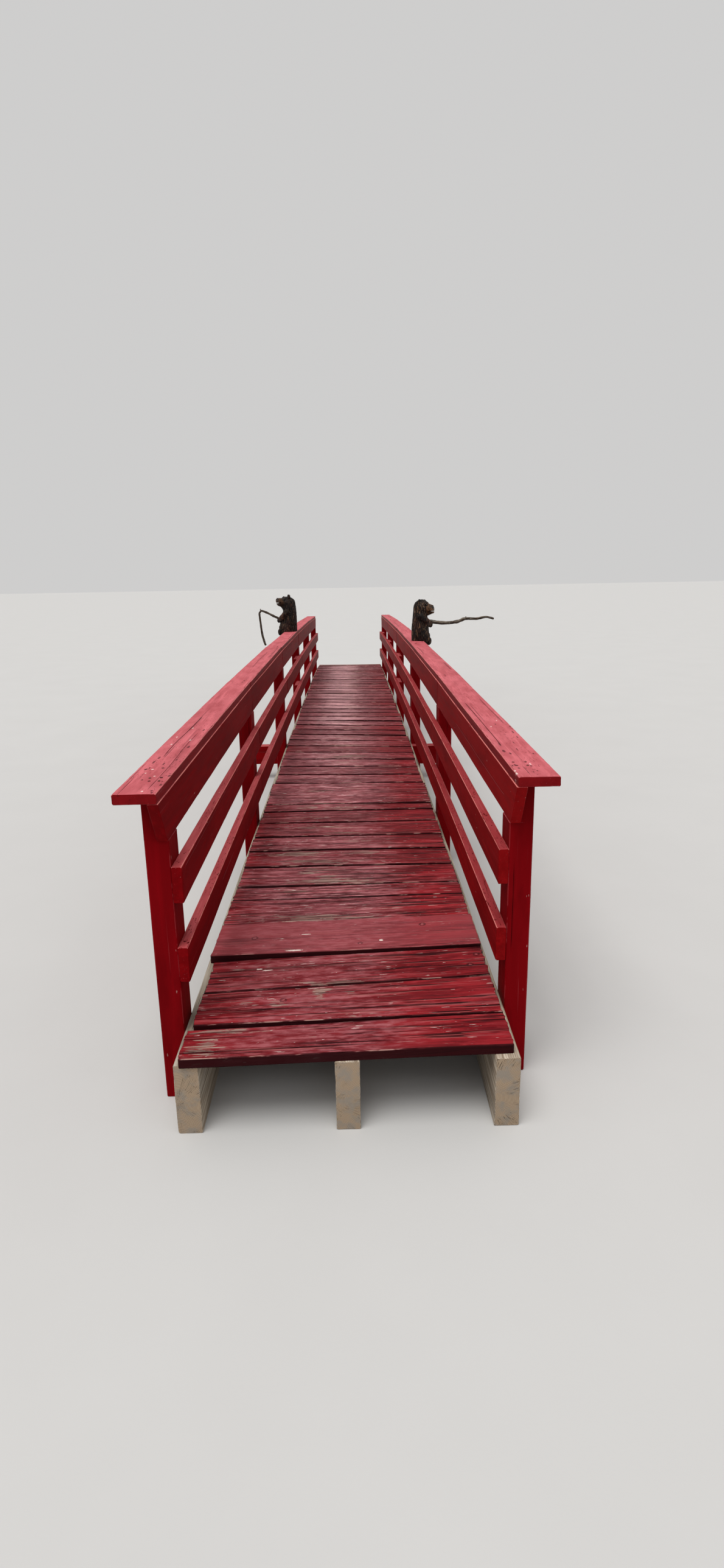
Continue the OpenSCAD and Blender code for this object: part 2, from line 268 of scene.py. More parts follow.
# ---------------------------------------------------------------- materials
class NB:
    def __init__(self, name):
        self.m = bpy.data.materials.new(name)
        self.m.use_nodes = True
        self.t = self.m.node_tree
        self.t.nodes.clear()

    def n(self, kind, ins=None, **props):
        nd = self.t.nodes.new(kind)
        for k, v in props.items():
            setattr(nd, k, v)
        for k, v in (ins or {}).items():
            self.put(nd.inputs[k], v)
        return nd

    def put(self, sock, v):
        if isinstance(v, bpy.types.NodeSocket):
            self.t.links.new(v, sock)
        elif v is not None:
            sock.default_value = v

    def attr(self, name):
        return self.n("ShaderNodeAttribute", attribute_name=name).outputs["Vector"]

    def xyz(self, v):
        return self.n("ShaderNodeSeparateXYZ", {"Vector": v}).outputs

    def scale(self, v, s, off=(0, 0, 0)):
        return self.n("ShaderNodeMapping", {"Vector": v, "Scale": s, "Location": off}).outputs["Vector"]

    def noise(self, v, scale=1.0, detail=2.0, rough=0.5, dist=0.0, out="Fac"):
        return self.n("ShaderNodeTexNoise", {"Vector": v, "Scale": scale, "Detail": detail, "Roughness": rough, "Distortion": dist}).outputs[out]

    def voro(self, v, scale=1.0, out="Distance", **kw):
        return self.n("ShaderNodeTexVoronoi", {"Vector": v, "Scale": scale}, **kw).outputs[out]

    def math(self, op, a, b=None, c=None, clamp=False):
        nd = self.n("ShaderNodeMath", operation=op, use_clamp=clamp)
        self.put(nd.inputs[0], a)
        if b is not None:
            self.put(nd.inputs[1], b)
        if c is not None:
            self.put(nd.inputs[2], c)
        return nd.outputs[0]

    def rng(self, v, a, b, c=0.0, d=1.0, smooth=True):
        return self.n("ShaderNodeMapRange", {"Value": v, "From Min": a, "From Max": b, "To Min": c, "To Max": d},
                      interpolation_type="SMOOTHSTEP" if smooth else "LINEAR", clamp=True).outputs["Result"]

    def mix(self, f, a, b, mode="MIX"):
        nd = self.n("ShaderNodeMix", data_type="RGBA", blend_type=mode)
        self.put(nd.inputs["Factor"], f)
        for k, v in ((6, a), (7, b)):
            if isinstance(v, tuple) and len(v) == 3:
                v = v + (1.0,)
            self.put(nd.inputs[k], v)
        return nd.outputs[2]

    def line(self, v, centre=0.5, width=0.02):
        """thin lines where a field crosses a level"""
        return self.rng(self.math("ABSOLUTE", self.math("SUBTRACT", v, centre)), 0.0, width, 1.0, 0.0)

    def bump(self, h, dist, strength=1.0, normal=None):
        return self.n("ShaderNodeBump", {"Height": h, "Distance": dist, "Strength": strength, "Normal": normal}).outputs["Normal"]

    def finish(self, color, rough, normal, spec=0.35):
        bs = self.n("ShaderNodeBsdfPrincipled", {"Base Color": color, "Roughness": rough, "Normal": normal})
        bs.inputs["Specular IOR Level"].default_value = spec
        out = self.n("ShaderNodeOutputMaterial", {"Surface": bs.outputs[0]})
        return self.m


def spots(g, pl, lst, org):
    """distance, in mark sizes, from the nearest of some marks: (along, across, half length, half width)"""
    out = None
    for (l, a, rl, ra) in lst:
        v = g.scale(pl, (1 / rl, 1 / ra, 0), (-(org[0] + l) / rl, -(org[1] + a) / ra, 0))
        d = g.n("ShaderNodeVectorMath", {0: v}, operation="LENGTH").outputs["Value"]
        out = d if out is None else g.math("MINIMUM", out, d)
    wob = g.noise(g.scale(pl, (160, 260, 260)), 1.0, 3, 0.6)
    return g.math("ADD", out, g.math("MULTIPLY", g.math("SUBTRACT", wob, 0.5), 2.2))


def painted(name, dark, mid, pink, chalk_and_sheen=1.0, wear_and_highlight=1.0, crackle=1.0, freckle=1.0, spec=0.07, chips=0.85, lip=0.0, dents=None, flakes=None, org=(0, 0)):
    """old oil paint on softwood: deep red where upright, pale pink on upper faces from weathering and a painted sky
    sheen, rubbed at the edges with a painted highlight on the upper ones
    """
    g = NB(name)
    pl, pw = g.attr("pl"), g.xyz(g.attr("pw"))
    edge, crk, rnd = pw[0], pw[1], pw[2]
    nz = g.xyz(g.n("ShaderNodeNewGeometry").outputs["Normal"])[2]
    broad = g.noise(g.scale(pl, (0.9, 5, 5)), 1.0, 3, 0.6)
    cloud = g.noise(g.scale(pl, (5, 17, 17), (6, 2, 9)), 1.0, 3, 0.6)
    streak = g.noise(g.scale(pl, (2.2, 46, 46)), 1.0, 4, 0.62, 0.2)
    fine = g.noise(g.scale(pl, (14, 420, 420)), 1.0, 3, 0.6)
    col = g.mix(g.rng(broad, 0.34, 0.68), dark, mid)
    col = g.mix(g.math("MULTIPLY", g.rng(streak, 0.42, 0.75), 0.45), col, tuple(1.32 * c for c in mid))
    col = g.mix(g.math("MULTIPLY", g.rng(cloud, 0.50, 0.70), 0.35), col, tuple(0.72 * c for c in dark))
    col = g.mix(g.math("MULTIPLY", rnd, 0.25), col, tuple(c * 0.75 for c in mid))
    # pale pink on whatever faces the sky: weathered paint, and also a painted sheen of sky reflection on the upper
    # faces
    up = g.rng(nz, 0.30, 0.88)
    deep = tuple(0.70 * a + 0.30 * b for a, b in zip(pink, mid))
    hi = tuple(min(1.0, 1.16 * c + 0.02) for c in pink)
    tone = g.mix(g.rng(cloud, 0.36, 0.62), deep, pink)
    tone = g.mix(g.math("MULTIPLY", g.rng(streak, 0.50, 0.70), 0.70), tone, hi)
    col = g.mix(g.math("MULTIPLY", up, g.rng(broad, 0.28, 0.60, 0.80 * chalk_and_sheen, chalk_and_sheen)), col, tone)
    # rubbed edges, thin and broken, strongest on upper edges: partly rubbed paint, partly a painted highlight where the
    # edges catch the light
    edge_rub_and_highlight = g.math("MULTIPLY", g.rng(edge, 0.86, 1.0), g.rng(g.noise(g.scale(pl, (13, 40, 40)), 1.0, 3, 0.65), 0.44, 0.54))
    edge_rub_and_highlight = g.math("MULTIPLY", edge_rub_and_highlight, g.rng(nz, -0.30, 0.45, 0.25, 1.0))
    col = g.mix(g.math("MULTIPLY", edge_rub_and_highlight, 0.80 * wear_and_highlight), col, hi)
    if lip:
        # the upper arris as a thin pale line: partly rubbed paint, partly a painted highlight where the arris catches
        # light from above
        arris_rub_and_highlight = g.math("MULTIPLY", g.rng(edge, 0.84, 0.95), g.rng(g.math("MULTIPLY", nz, g.math("SUBTRACT", 1.25, nz)), 0.10, 0.30))
        arris_rub_and_highlight = g.math("MULTIPLY", arris_rub_and_highlight, g.rng(g.noise(g.scale(pl, (6, 20, 20), (3, 3, 8)), 1.0, 3, 0.6), 0.36, 0.50, 0.25, 1.0))
        col = g.mix(g.math("MULTIPLY", arris_rub_and_highlight, lip), col, (0.78, 0.27, 0.235))
    # freckles and short checks where the weather sits
    spk = g.rng(g.noise(g.scale(pl, (46, 150, 150)), 1.0, 2, 0.5), 0.635, 0.665)
    dsh = g.rng(g.noise(g.scale(pl, (9, 210, 210), (1, 4, 8)), 1.0, 2, 0.5), 0.665, 0.695)
    fm = g.rng(g.noise(g.scale(pl, (3.4, 13, 13), (8, 8, 1)), 1.0, 2, 0.5), 0.40, 0.60, 0.15, 1.0)
    fre = g.math("MULTIPLY", g.math("MULTIPLY", g.math("MAXIMUM", spk, dsh), fm), g.rng(nz, 0.25, 0.85, 0.05, freckle))
    col = g.mix(g.math("MULTIPLY", fre, 0.78), col, tuple(c * 0.34 for c in mid))
    pale = g.rng(g.noise(g.scale(pl, (30, 105, 105), (3, 9, 2)), 1.0, 2, 0.5), 0.745, 0.760)
    pale = g.math("MULTIPLY", pale, g.rng(g.noise(g.scale(pl, (2.2, 9, 9), (5, 5, 5)), 1.0, 2, 0.5), 0.50, 0.60))
    col = g.mix(g.math("MULTIPLY", pale, chips), col, (0.66, 0.50, 0.45))
    # scratches along the timber
    scr = g.rng(g.noise(g.scale(pl, (1.9, 240, 240), (11, 5, 3)), 1.0, 1.5, 0.5), 0.700, 0.722)
    scr = g.math("MULTIPLY", scr, g.rng(g.noise(g.scale(pl, (1.7, 10, 10), (2, 8, 6)), 1.0, 1, 0.5), 0.46, 0.58))
    col = g.mix(g.math("MULTIPLY", scr, 0.55 * wear_and_highlight), col, tuple(0.75 * c for c in pink))
    # long dark checks
    chk = g.rng(g.noise(g.scale(pl, (1.25, 120, 120), (5, 1, 1)), 1.0, 2, 0.5, 0.1), 0.672, 0.700)
    chk = g.math("MULTIPLY", g.math("MULTIPLY", chk, g.rng(broad, 0.42, 0.55)), crackle)
    dk = g.math("MAXIMUM", g.math("MULTIPLY", chk, 0.9), g.math("MULTIPLY", crk, 0.92), clamp=True)
    if flakes:
        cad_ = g.rng(spots(g, pl, flakes, org), 1.10, 0.80)
        col = g.mix(g.math("MULTIPLY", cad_, 0.9), col, (0.78, 0.56, 0.53))
    if dents:
        dn = g.rng(spots(g, pl, dents, org), 1.25, 0.70)
        dk = g.math("MAXIMUM", dk, g.math("MULTIPLY", dn, 0.74), clamp=True)
    col = g.mix(dk, col, (0.016, 0.002, 0.003))
    h = g.math("ADD", g.math("MULTIPLY", streak, 0.45), g.math("MULTIPLY", fine, 0.30))
    if dents:
        h = g.math("SUBTRACT", h, g.math("MULTIPLY", dn, 2.2))
    h = g.math("SUBTRACT", h, g.math("MULTIPLY", chk, 1.5))
    h = g.math("SUBTRACT", h, g.math("MULTIPLY", fre, 0.45))
    rough = g.rng(g.math("ADD", g.math("MULTIPLY", streak, 0.5), g.math("MULTIPLY", up, 0.30)), 0.2, 0.75, 0.50, 0.76)
    return g.finish(col, rough, g.bump(h, 0.0010, 0.8), spec)


def deck_material(knots=(), chips=(), org=(0, 0)):
    """walked-on paint: crimson and checked at the board ends, scuffed pink and grey-brown along the middle"""
    g = NB("deck_paint")
    pl, pw, px = g.attr("pl"), g.xyz(g.attr("pw")), g.xyz(g.attr("px"))
    edge, crk, rnd = pw[0], pw[1], pw[2]
    bare0, fade_and_sheen, dens = px[0], px[1], px[2]
    nz = g.xyz(g.n("ShaderNodeNewGeometry").outputs["Normal"])[2]
    mott = g.noise(g.scale(pl, (4, 13, 13)), 1.0, 3, 0.55)
    clump = g.noise(g.scale(pl, (15, 56, 56), (3, 3, 3)), 1.0, 4, 0.62)
    grain = g.noise(g.scale(pl, (3.4, 105, 105)), 1.0, 3, 0.60, 0.2)
    fibre = g.noise(g.scale(pl, (12, 420, 420)), 1.0, 2, 0.5)
    red = g.mix(g.rng(mott, 0.36, 0.64), (0.165, 0.0070, 0.0110), (0.290, 0.0150, 0.0210))
    red = g.mix(g.math("MULTIPLY", g.rng(clump, 0.48, 0.68), 0.45), red, (0.400, 0.0360, 0.0430))
    red = g.mix(g.math("MULTIPLY", g.rng(grain, 0.56, 0.72), 0.35), red, (0.440, 0.0480, 0.0560))
    red = g.mix(g.math("MULTIPLY", g.rng(grain, 0.45, 0.30), 0.60), red, (0.085, 0.0040, 0.0065))
    bk = g.rng(dens, -1.0, -0.2, 0.15, 1.0)
    pk = g.mix(g.rng(clump, 0.36, 0.62), (0.205, 0.048, 0.058), (0.385, 0.122, 0.138))
    pk = g.mix(g.math("MULTIPLY", g.math("MULTIPLY", g.rng(grain, 0.52, 0.70), 0.45), bk), pk, (0.480, 0.190, 0.195))
    pk = g.mix(g.math("MULTIPLY", g.rng(grain, 0.46, 0.32), 0.45), pk, (0.090, 0.012, 0.016))
    f1 = g.math("ADD", g.math("MULTIPLY", clump, 0.55), g.math("MULTIPLY", mott, 0.45))
    f1 = g.rng(g.math("ADD", fade_and_sheen, g.math("MULTIPLY", g.math("SUBTRACT", f1, 0.5), 1.7)), 0.22, 0.80)
    col = g.mix(g.math("MULTIPLY", f1, 0.88), red, pk)
    # a painted sheen along the far half: pale sky reflection painted into the colour
    sh = g.math("ADD", g.math("MULTIPLY", g.math("SUBTRACT", clump, 0.5), 1.5), g.math("MULTIPLY", g.math("SUBTRACT", grain, 0.5), 2.2))
    col = g.mix(g.math("MULTIPLY", g.math("MULTIPLY", g.rng(g.math("ADD", fade_and_sheen, sh), 0.92, 1.42), 0.84), bk), col, (0.760, 0.405, 0.425))
    # grey-brown wood where the paint is walked through
    wood = g.mix(g.rng(grain, 0.34, 0.66), (0.150, 0.088, 0.070), (0.430, 0.310, 0.250))
    wood = g.mix(g.math("MULTIPLY", g.rng(fibre, 0.52, 0.70), 0.55), wood, (0.580, 0.470, 0.400))
    b1 = g.math("ADD", g.math("MULTIPLY", clump, 0.45), g.math("MULTIPLY", grain, 0.55))
    b1 = g.math("ADD", bare0, g.math("MULTIPLY", g.math("SUBTRACT", b1, 0.5), 3.2))
    bm = g.rng(b1, 0.48, 0.56)
    col = g.mix(g.math("MULTIPLY", bm, 0.88), col, wood)
    dust = g.math("MULTIPLY", g.rng(g.math("ADD", bare0, g.math("MULTIPLY", g.math("SUBTRACT", clump, 0.5), 1.8)), 0.30, 0.80), 0.40)
    col = g.mix(dust, col, (0.235, 0.125, 0.115))
    # lifted flecks of paint, white and pink
    flm = g.rng(g.math("ADD", g.noise(g.scale(pl, (5, 20, 20), (1, 6, 2)), 1.0, 2, 0.5), g.math("MULTIPLY", bare0, 0.22)), 0.46, 0.58)
    fl = g.rng(g.noise(g.scale(pl, (15, 125, 125), (5, 1, 4)), 1.0, 2.5, 0.55), 0.668, 0.686)
    fl2 = g.rng(g.noise(g.scale(pl, (42, 125, 125), (2, 5, 9)), 1.0, 2, 0.5), 0.752, 0.765)
    fleck = g.math("MAXIMUM", g.math("MULTIPLY", fl, flm), fl2)
    col = g.mix(g.math("MULTIPLY", fleck, 0.92), col, (0.72, 0.560, 0.520))
    # bands of rougher and smoother growth along each board
    band = g.noise(g.scale(pl, (1.5, 30, 30), (9, 2, 4)), 1.0, 3, 0.62)
    col = g.mix(g.math("MULTIPLY", g.math("MULTIPLY", g.rng(band, 0.48, 0.34), 0.55), bk), col, (0.080, 0.0080, 0.0110))
    col = g.mix(g.math("MULTIPLY", g.math("MULTIPLY", g.rng(band, 0.54, 0.70), 0.24), bk), col, (0.520, 0.200, 0.210))
    # dark checks along the grain: long, middling and short, thickest at the board ends
    where = g.noise(g.scale(pl, (2.2, 12, 12), (3, 1, 7)), 1.0, 2, 0.5)
    m1 = g.rng(g.math("ADD", where, g.math("MULTIPLY", dens, 0.07)), 0.42, 0.55)
    m2 = g.rng(g.math("ADD", where, g.math("MULTIPLY", dens, 0.05)), 0.44, 0.58)
    c1 = g.rng(g.noise(g.scale(pl, (1.7, 62, 62)), 1.0, 2.5, 0.5, 0.10), 0.612, 0.632)
    c2 = g.rng(g.noise(g.scale(pl, (2.4, 135, 135), (2, 2, 2)), 1.0, 2.5, 0.5, 0.06), 0.600, 0.620)
    c3 = g.rng(g.noise(g.scale(pl, (6.5, 300, 300), (4, 9, 2)), 1.0, 2.5, 0.5), 0.590, 0.620)
    dark = g.math("MAXIMUM", g.math("MULTIPLY", c1, g.rng(dens, -1.0, 0.3, 0.25, 1.0)), g.math("MULTIPLY", c2, m1))
    dark = g.math("MAXIMUM", dark, g.math("MULTIPLY", g.math("MULTIPLY", c3, m2), 0.85), clamp=True)
    gloom = g.math("MULTIPLY", g.rng(clump, 0.50, 0.38), m2)
    col = g.mix(g.math("MULTIPLY", gloom, 0.25), col, (0.070, 0.0080, 0.0110))
    col = g.mix(g.math("MULTIPLY", dark, 0.95), col, (0.017, 0.0030, 0.0040))
    # the lit lip on the far side of a check
    lipc = g.rng(g.noise(g.scale(pl, (1.7, 62, 62), (0.0, 0.22, 0.0)), 1.0, 2.5, 0.5, 0.10), 0.615, 0.640)
    col = g.mix(g.math("MULTIPLY", lipc, g.math("SUBTRACT", 0.50, g.math("MULTIPLY", dark, 0.5))), col, (0.47, 0.150, 0.140))
    # joints: arrises packed with dirt in places; elsewhere pale, partly rubbed paint and partly a painted highlight
    # where the arris catches the light
    en = g.noise(g.scale(pl, (9, 40, 40), (7, 7, 7)), 1.0, 3, 0.6)
    col = g.mix(g.math("MULTIPLY", g.rng(edge, 0.35, 0.80), g.rng(en, 0.66, 0.46, 0.10, 0.95)), col, (0.024, 0.0040, 0.0050))
    col = g.mix(g.math("MULTIPLY", g.rng(edge, 0.55, 0.95), g.rng(en, 0.54, 0.62)), col, (0.42, 0.235, 0.205))
    col = g.mix(g.math("MULTIPLY", crk, 0.96), col, (0.008, 0.002, 0.002))
    col = g.mix(g.rng(rnd, 0.0, 1.0, 0.0, 0.42), col, (0.085, 0.0060, 0.0090))
    col = g.mix(g.rng(dens, -0.85, -0.95, 0.0, 0.55), col, (0.300, 0.058, 0.068))
    kd = spots(g, pl, knots, org)
    ring = g.math("MULTIPLY", g.rng(kd, 1.30, 1.05), g.rng(kd, 0.55, 0.90))
    col = g.mix(g.math("MULTIPLY", ring, 0.80), col, (0.045, 0.0060, 0.0080))
    col = g.mix(g.math("MULTIPLY", g.rng(kd, 0.60, 0.20), 0.5), col, (0.46, 0.160, 0.165))
    col = g.mix(g.rng(spots(g, pl, chips, org), 1.15, 0.85), col, (0.78, 0.66, 0.60))
    # board sides, ends and undersides go near-black: painted shade for the joints and edges
    side = g.rng(nz, 0.15, 0.70, 1.0, 0.0)
    col = g.mix(g.math("MULTIPLY", side, 0.97), col, (0.020, 0.0025, 0.0035))
    h = g.math("ADD", g.math("MULTIPLY", grain, 0.6), g.math("MULTIPLY", fibre, 0.30))
    h = g.math("SUBTRACT", h, g.math("MULTIPLY", dark, 1.7))
    h = g.math("SUBTRACT", h, g.math("MULTIPLY", bm, 0.30))
    h = g.math("SUBTRACT", h, g.math("MULTIPLY", ring, 1.2))
    h = g.math("ADD", h, g.math("MULTIPLY", fleck, 0.25))
    rough = g.rng(g.math("ADD", g.math("MULTIPLY", grain, 0.4), g.math("MULTIPLY", bm, 0.5)), 0.15, 0.85, 0.50, 0.85)
    return g.finish(col, rough, g.bump(h, 0.0015, 0.8), 0.04)


def timber_material(name="bare_timber", lo=(0.20, 0.150, 0.105), hi=(0.60, 0.52, 0.42)):
    """unpainted softwood: growth rings round a pith, silvered and dirty"""
    g = NB(name)
    pl, pw, px = g.attr("pl"), g.xyz(g.attr("pw")), g.attr("px")
    broad = g.noise(g.scale(pl, (0.8, 7, 7)), 1.0, 3, 0.6)
    streak = g.noise(g.scale(pl, (2.4, 70, 70)), 1.0, 4, 0.65, 0.35)
    fine = g.noise(g.scale(pl, (10, 380, 380)), 1.0, 3, 0.6)
    rad = g.n("ShaderNodeVectorMath", {0: px}, operation="LENGTH").outputs["Value"]
    rad = g.math("ADD", rad, g.math("MULTIPLY", g.math("SUBTRACT", g.noise(g.scale(pl, (0.9, 14, 14)), 1.0, 3, 0.55), 0.5), 0.012))
    ring = g.math("FRACT", g.math("MULTIPLY", rad, 235.0))
    late = g.math("MULTIPLY", g.rng(ring, 0.35, 0.92), g.rng(ring, 1.0, 0.93))
    col = g.mix(g.rng(streak, 0.28, 0.70), lo, hi)
    col = g.mix(g.math("MULTIPLY", late, 0.55), col, (0.215, 0.140, 0.082))
    col = g.mix(g.math("MULTIPLY", g.rng(broad, 0.48, 0.70), 0.45), col, (0.31, 0.29, 0.265))
    # sawn ends: rings and a few drying checks that run from the pith
    ny = g.math("ABSOLUTE", g.xyz(g.n("ShaderNodeNewGeometry").outputs["Normal"])[1])
    endf = g.rng(ny, 0.55, 0.85)
    ecol = g.mix(late, (0.410, 0.315, 0.225), (0.185, 0.118, 0.068))
    ecol = g.mix(g.rng(g.noise(g.scale(pl, (1, 22, 22)), 1.0, 3, 0.6), 0.42, 0.66, 0.0, 0.65), ecol, (0.245, 0.225, 0.200))
    xy = g.xyz(px)
    ang = g.math("ARCTAN2", xy[0], xy[1])
    ray = g.noise(g.n("ShaderNodeCombineXYZ", {"X": g.math("MULTIPLY", ang, 20.0), "Y": g.math("MULTIPLY", rad, 7.0)}).outputs[0], 1.0, 2, 0.5)
    ray = g.line(ray, 0.5, 0.010)
    ray = g.math("MULTIPLY", ray, g.rng(g.noise(g.scale(pl, (1, 15, 15), (4, 4, 4)), 1.0, 1, 0.5), 0.50, 0.58))
    ecol = g.mix(g.math("MULTIPLY", ray, 0.85), ecol, (0.04, 0.027, 0.018))
    col = g.mix(endf, col, ecol)
    chk = g.math("MULTIPLY", g.rng(g.noise(g.scale(pl, (1.3, 130, 130)), 1.0, 2, 0.5, 0.1), 0.64, 0.67), g.rng(broad, 0.40, 0.54))
    chk = g.math("MULTIPLY", chk, g.math("SUBTRACT", 1.0, endf))
    dk = g.math("MAXIMUM", chk, pw[1])
    col = g.mix(g.math("MULTIPLY", dk, 0.85), col, (0.03, 0.02, 0.015))
    soft = g.math("SUBTRACT", 1.0, g.math("MULTIPLY", endf, 0.85))
    h = g.math("ADD", g.math("MULTIPLY", streak, soft), g.math("ADD", g.math("MULTIPLY", late, 0.40), g.math("MULTIPLY", g.math("MULTIPLY", fine, 0.4), soft)))
    h = g.math("SUBTRACT", h, g.math("MULTIPLY", g.math("MAXIMUM", chk, g.math("MULTIPLY", ray, endf)), 1.5))
    return g.finish(col, g.rng(streak, 0.3, 0.7, 0.66, 0.86), g.bump(h, 0.0014, 0.9), 0.10)


RED = painted("red_paint", (0.135, 0.0010, 0.0024), (0.205, 0.0018, 0.0036), (0.50, 0.096, 0.104), chalk_and_sheen=0.85, wear_and_highlight=1.0, crackle=0.35, freckle=1.2, spec=0.020, lip=0.62)
# lit copy of red_paint for the right rails: upright faces brighter as painted light from the left, tops less pink as a
# weaker painted sky sheen
RED_RIGHT_LIT = painted("red_paint_right_lit", (0.150, 0.0016, 0.0026), (0.245, 0.0040, 0.0054), (0.330, 0.0500, 0.0560), chalk_and_sheen=0.80, wear_and_highlight=1.0, crackle=0.25, freckle=1.6, spec=0.020, lip=0.70)
# fascia paints: the left one darker as painted shade under the cap, the right one brighter as painted light from the
# left
FASM_SHADED_LIT = {-1: painted("fascia_paint", (0.125, 0.0010, 0.0022), (0.190, 0.0016, 0.0034), (0.50, 0.100, 0.108), chalk_and_sheen=0.85, wear_and_highlight=1.0, crackle=0.15, freckle=0.8, spec=0.020, lip=0.85),
        1: painted("fascia_paint_right_lit", (0.155, 0.0016, 0.0026), (0.250, 0.0040, 0.0054), (0.45, 0.090, 0.098), chalk_and_sheen=0.85, wear_and_highlight=1.0, crackle=0.12, freckle=0.8, spec=0.020, lip=0.85)}
POSTM = painted("post_paint", (0.130, 0.0010, 0.0026), (0.185, 0.0014, 0.0036), (0.50, 0.085, 0.098), chalk_and_sheen=0.8, wear_and_highlight=0.6, crackle=0.20, freckle=0.8, spec=0.020, chips=0.35)
# dents and paint flakes on the near lengths of the two caps, as seen
CAP_MARKS = {
    -1: dict(org=(50.0, 50.0),
             dents=[(0.444, 0.036, .022, .004), (0.411, -0.010, .018, .003), (0.331, 0.039, .012, .005), (0.345, 0.030, .014, .002), (0.344, -0.023, .010, .004),
                    (0.181, 0.015, .007, .004), (0.035, -0.054, .007, .004), (0.013, -0.060, .008, .004), (0.702, -0.048, .020, .005), (0.233, -0.070, .010, .004),
                    (0.110, -0.068, .010, .004), (0.513, 0.031, .016, .004), (0.477, -0.045, .012, .003), (0.620, 0.012, .10, .0014), (0.10, 0.052, .09, .0012),
                    (0.28, 0.062, .14, .0012), (1.30, 0.02, .30, .0012), (1.05, -0.05, .02, .004)],
             flakes=[(0.329, 0.013, .007, .005), (0.229, -0.018, .006, .004), (0.276, 0.026, .005, .003), (0.030, -0.023, .007, .005), (0.756, 0.035, .012, .004),
                     (0.834, -0.030, .012, .005), (0.904, 0.043, .010, .004), (1.10, 0.01, .012, .004)]),
    1: dict(org=(60.0, 60.0),
            dents=[(0.394, -0.054, .020, .005), (0.350, -0.036, .014, .004), (0.750, 0.054, .020, .003), (0.648, 0.052, .014, .003), (0.871, 0.064, .014, .003),
                   (0.515, -0.049, .030, .0025), (0.543, 0.015, .012, .002), (0.421, 0.005, .020, .0018), (0.342, 0.053, .010, .003), (0.166, -0.054, .012, .004),
                   (0.120, -0.050, .008, .004), (0.158, -0.066, .010, .003), (0.152, 0.002, .012, .0025), (0.080, 0.008, .006, .003), (0.064, -0.009, .006, .003),
                   (0.083, -0.029, .060, .0012), (0.934, 0.009, .010, .003), (1.25, -0.03, .25, .0012)],
            flakes=[(0.050, -0.072, .016, .0030), (0.085, -0.071, .010, .0030), (0.18, 0.005, .012, .003), (0.88, -0.02, .010, .003), (1.02, 0.03, .008, .003)])}
CAPMS = {q: painted("cap_paint_%s" % ("left" if q < 0 else "right"), (0.140, 0.0020, 0.0040), (0.205, 0.0034, 0.0062), (0.560, 0.130, 0.150),
                    chalk_and_sheen=1.0, wear_and_highlight=1.0, crackle=0.35, freckle=0.75, spec=0.06, lip=0.35, **CAP_MARKS[q]) for q in (-1, 1)}
# knots and a white chip on the pale board and its neighbour; the four nearest boards lie 10 m apart in grain space
B4, B3 = 130.0 - 100.0, 120.0 - 100.0
DECKM = deck_material(knots=[(B4 + 0.174, -0.001, .0135, .0125), (B4 + 0.954, 0.068, .014, .012), (B4 + 0.657, -0.099, .010, .009), (B3 + 1.150, 0.056, .013, .012),
                             (B3 + 1.110, -0.035, .013, .012), (10.0 + 0.33, 0.03, .012, .011)],
                      chips=[(B4 + 0.752, -0.079, .0085, .0075), (B4 + 0.406, 0.016, .022, .0030), (B4 + 0.364, -0.145, .035, .006), (B3 + 0.242, 0.022, .020, .004),
                             (B3 + 0.207, 0.037, .012, .005), (B4 + 0.30, -0.02, .008, .003)], org=(100.0, 50.0))
BARE = timber_material()


def cracks(rs, L, W, n, wmin=0.0006, wmax=0.0016, dmin=0.003, dmax=0.008, lmin=0.15, lmax=0.7, faces="t"):
    out, used = [], []
    for _ in range(n * 4):
        if len(out) >= n:
            break
        p = rs.uniform(-W / 2 + 0.014, W / 2 - 0.014)
        if any(abs(p - u) < 0.009 for u in used):
            continue
        used.append(p)
        ln = min(L * 0.9, rs.uniform(lmin, lmax))
        l0 = rs.uniform(-0.05, L - ln + 0.05)
        out.append(dict(pos=p, l0=l0, l1=l0 + ln, w=rs.uniform(wmin, wmax), d=rs.uniform(dmin, dmax), face=faces[rs.randint(len(faces))]))
    return out


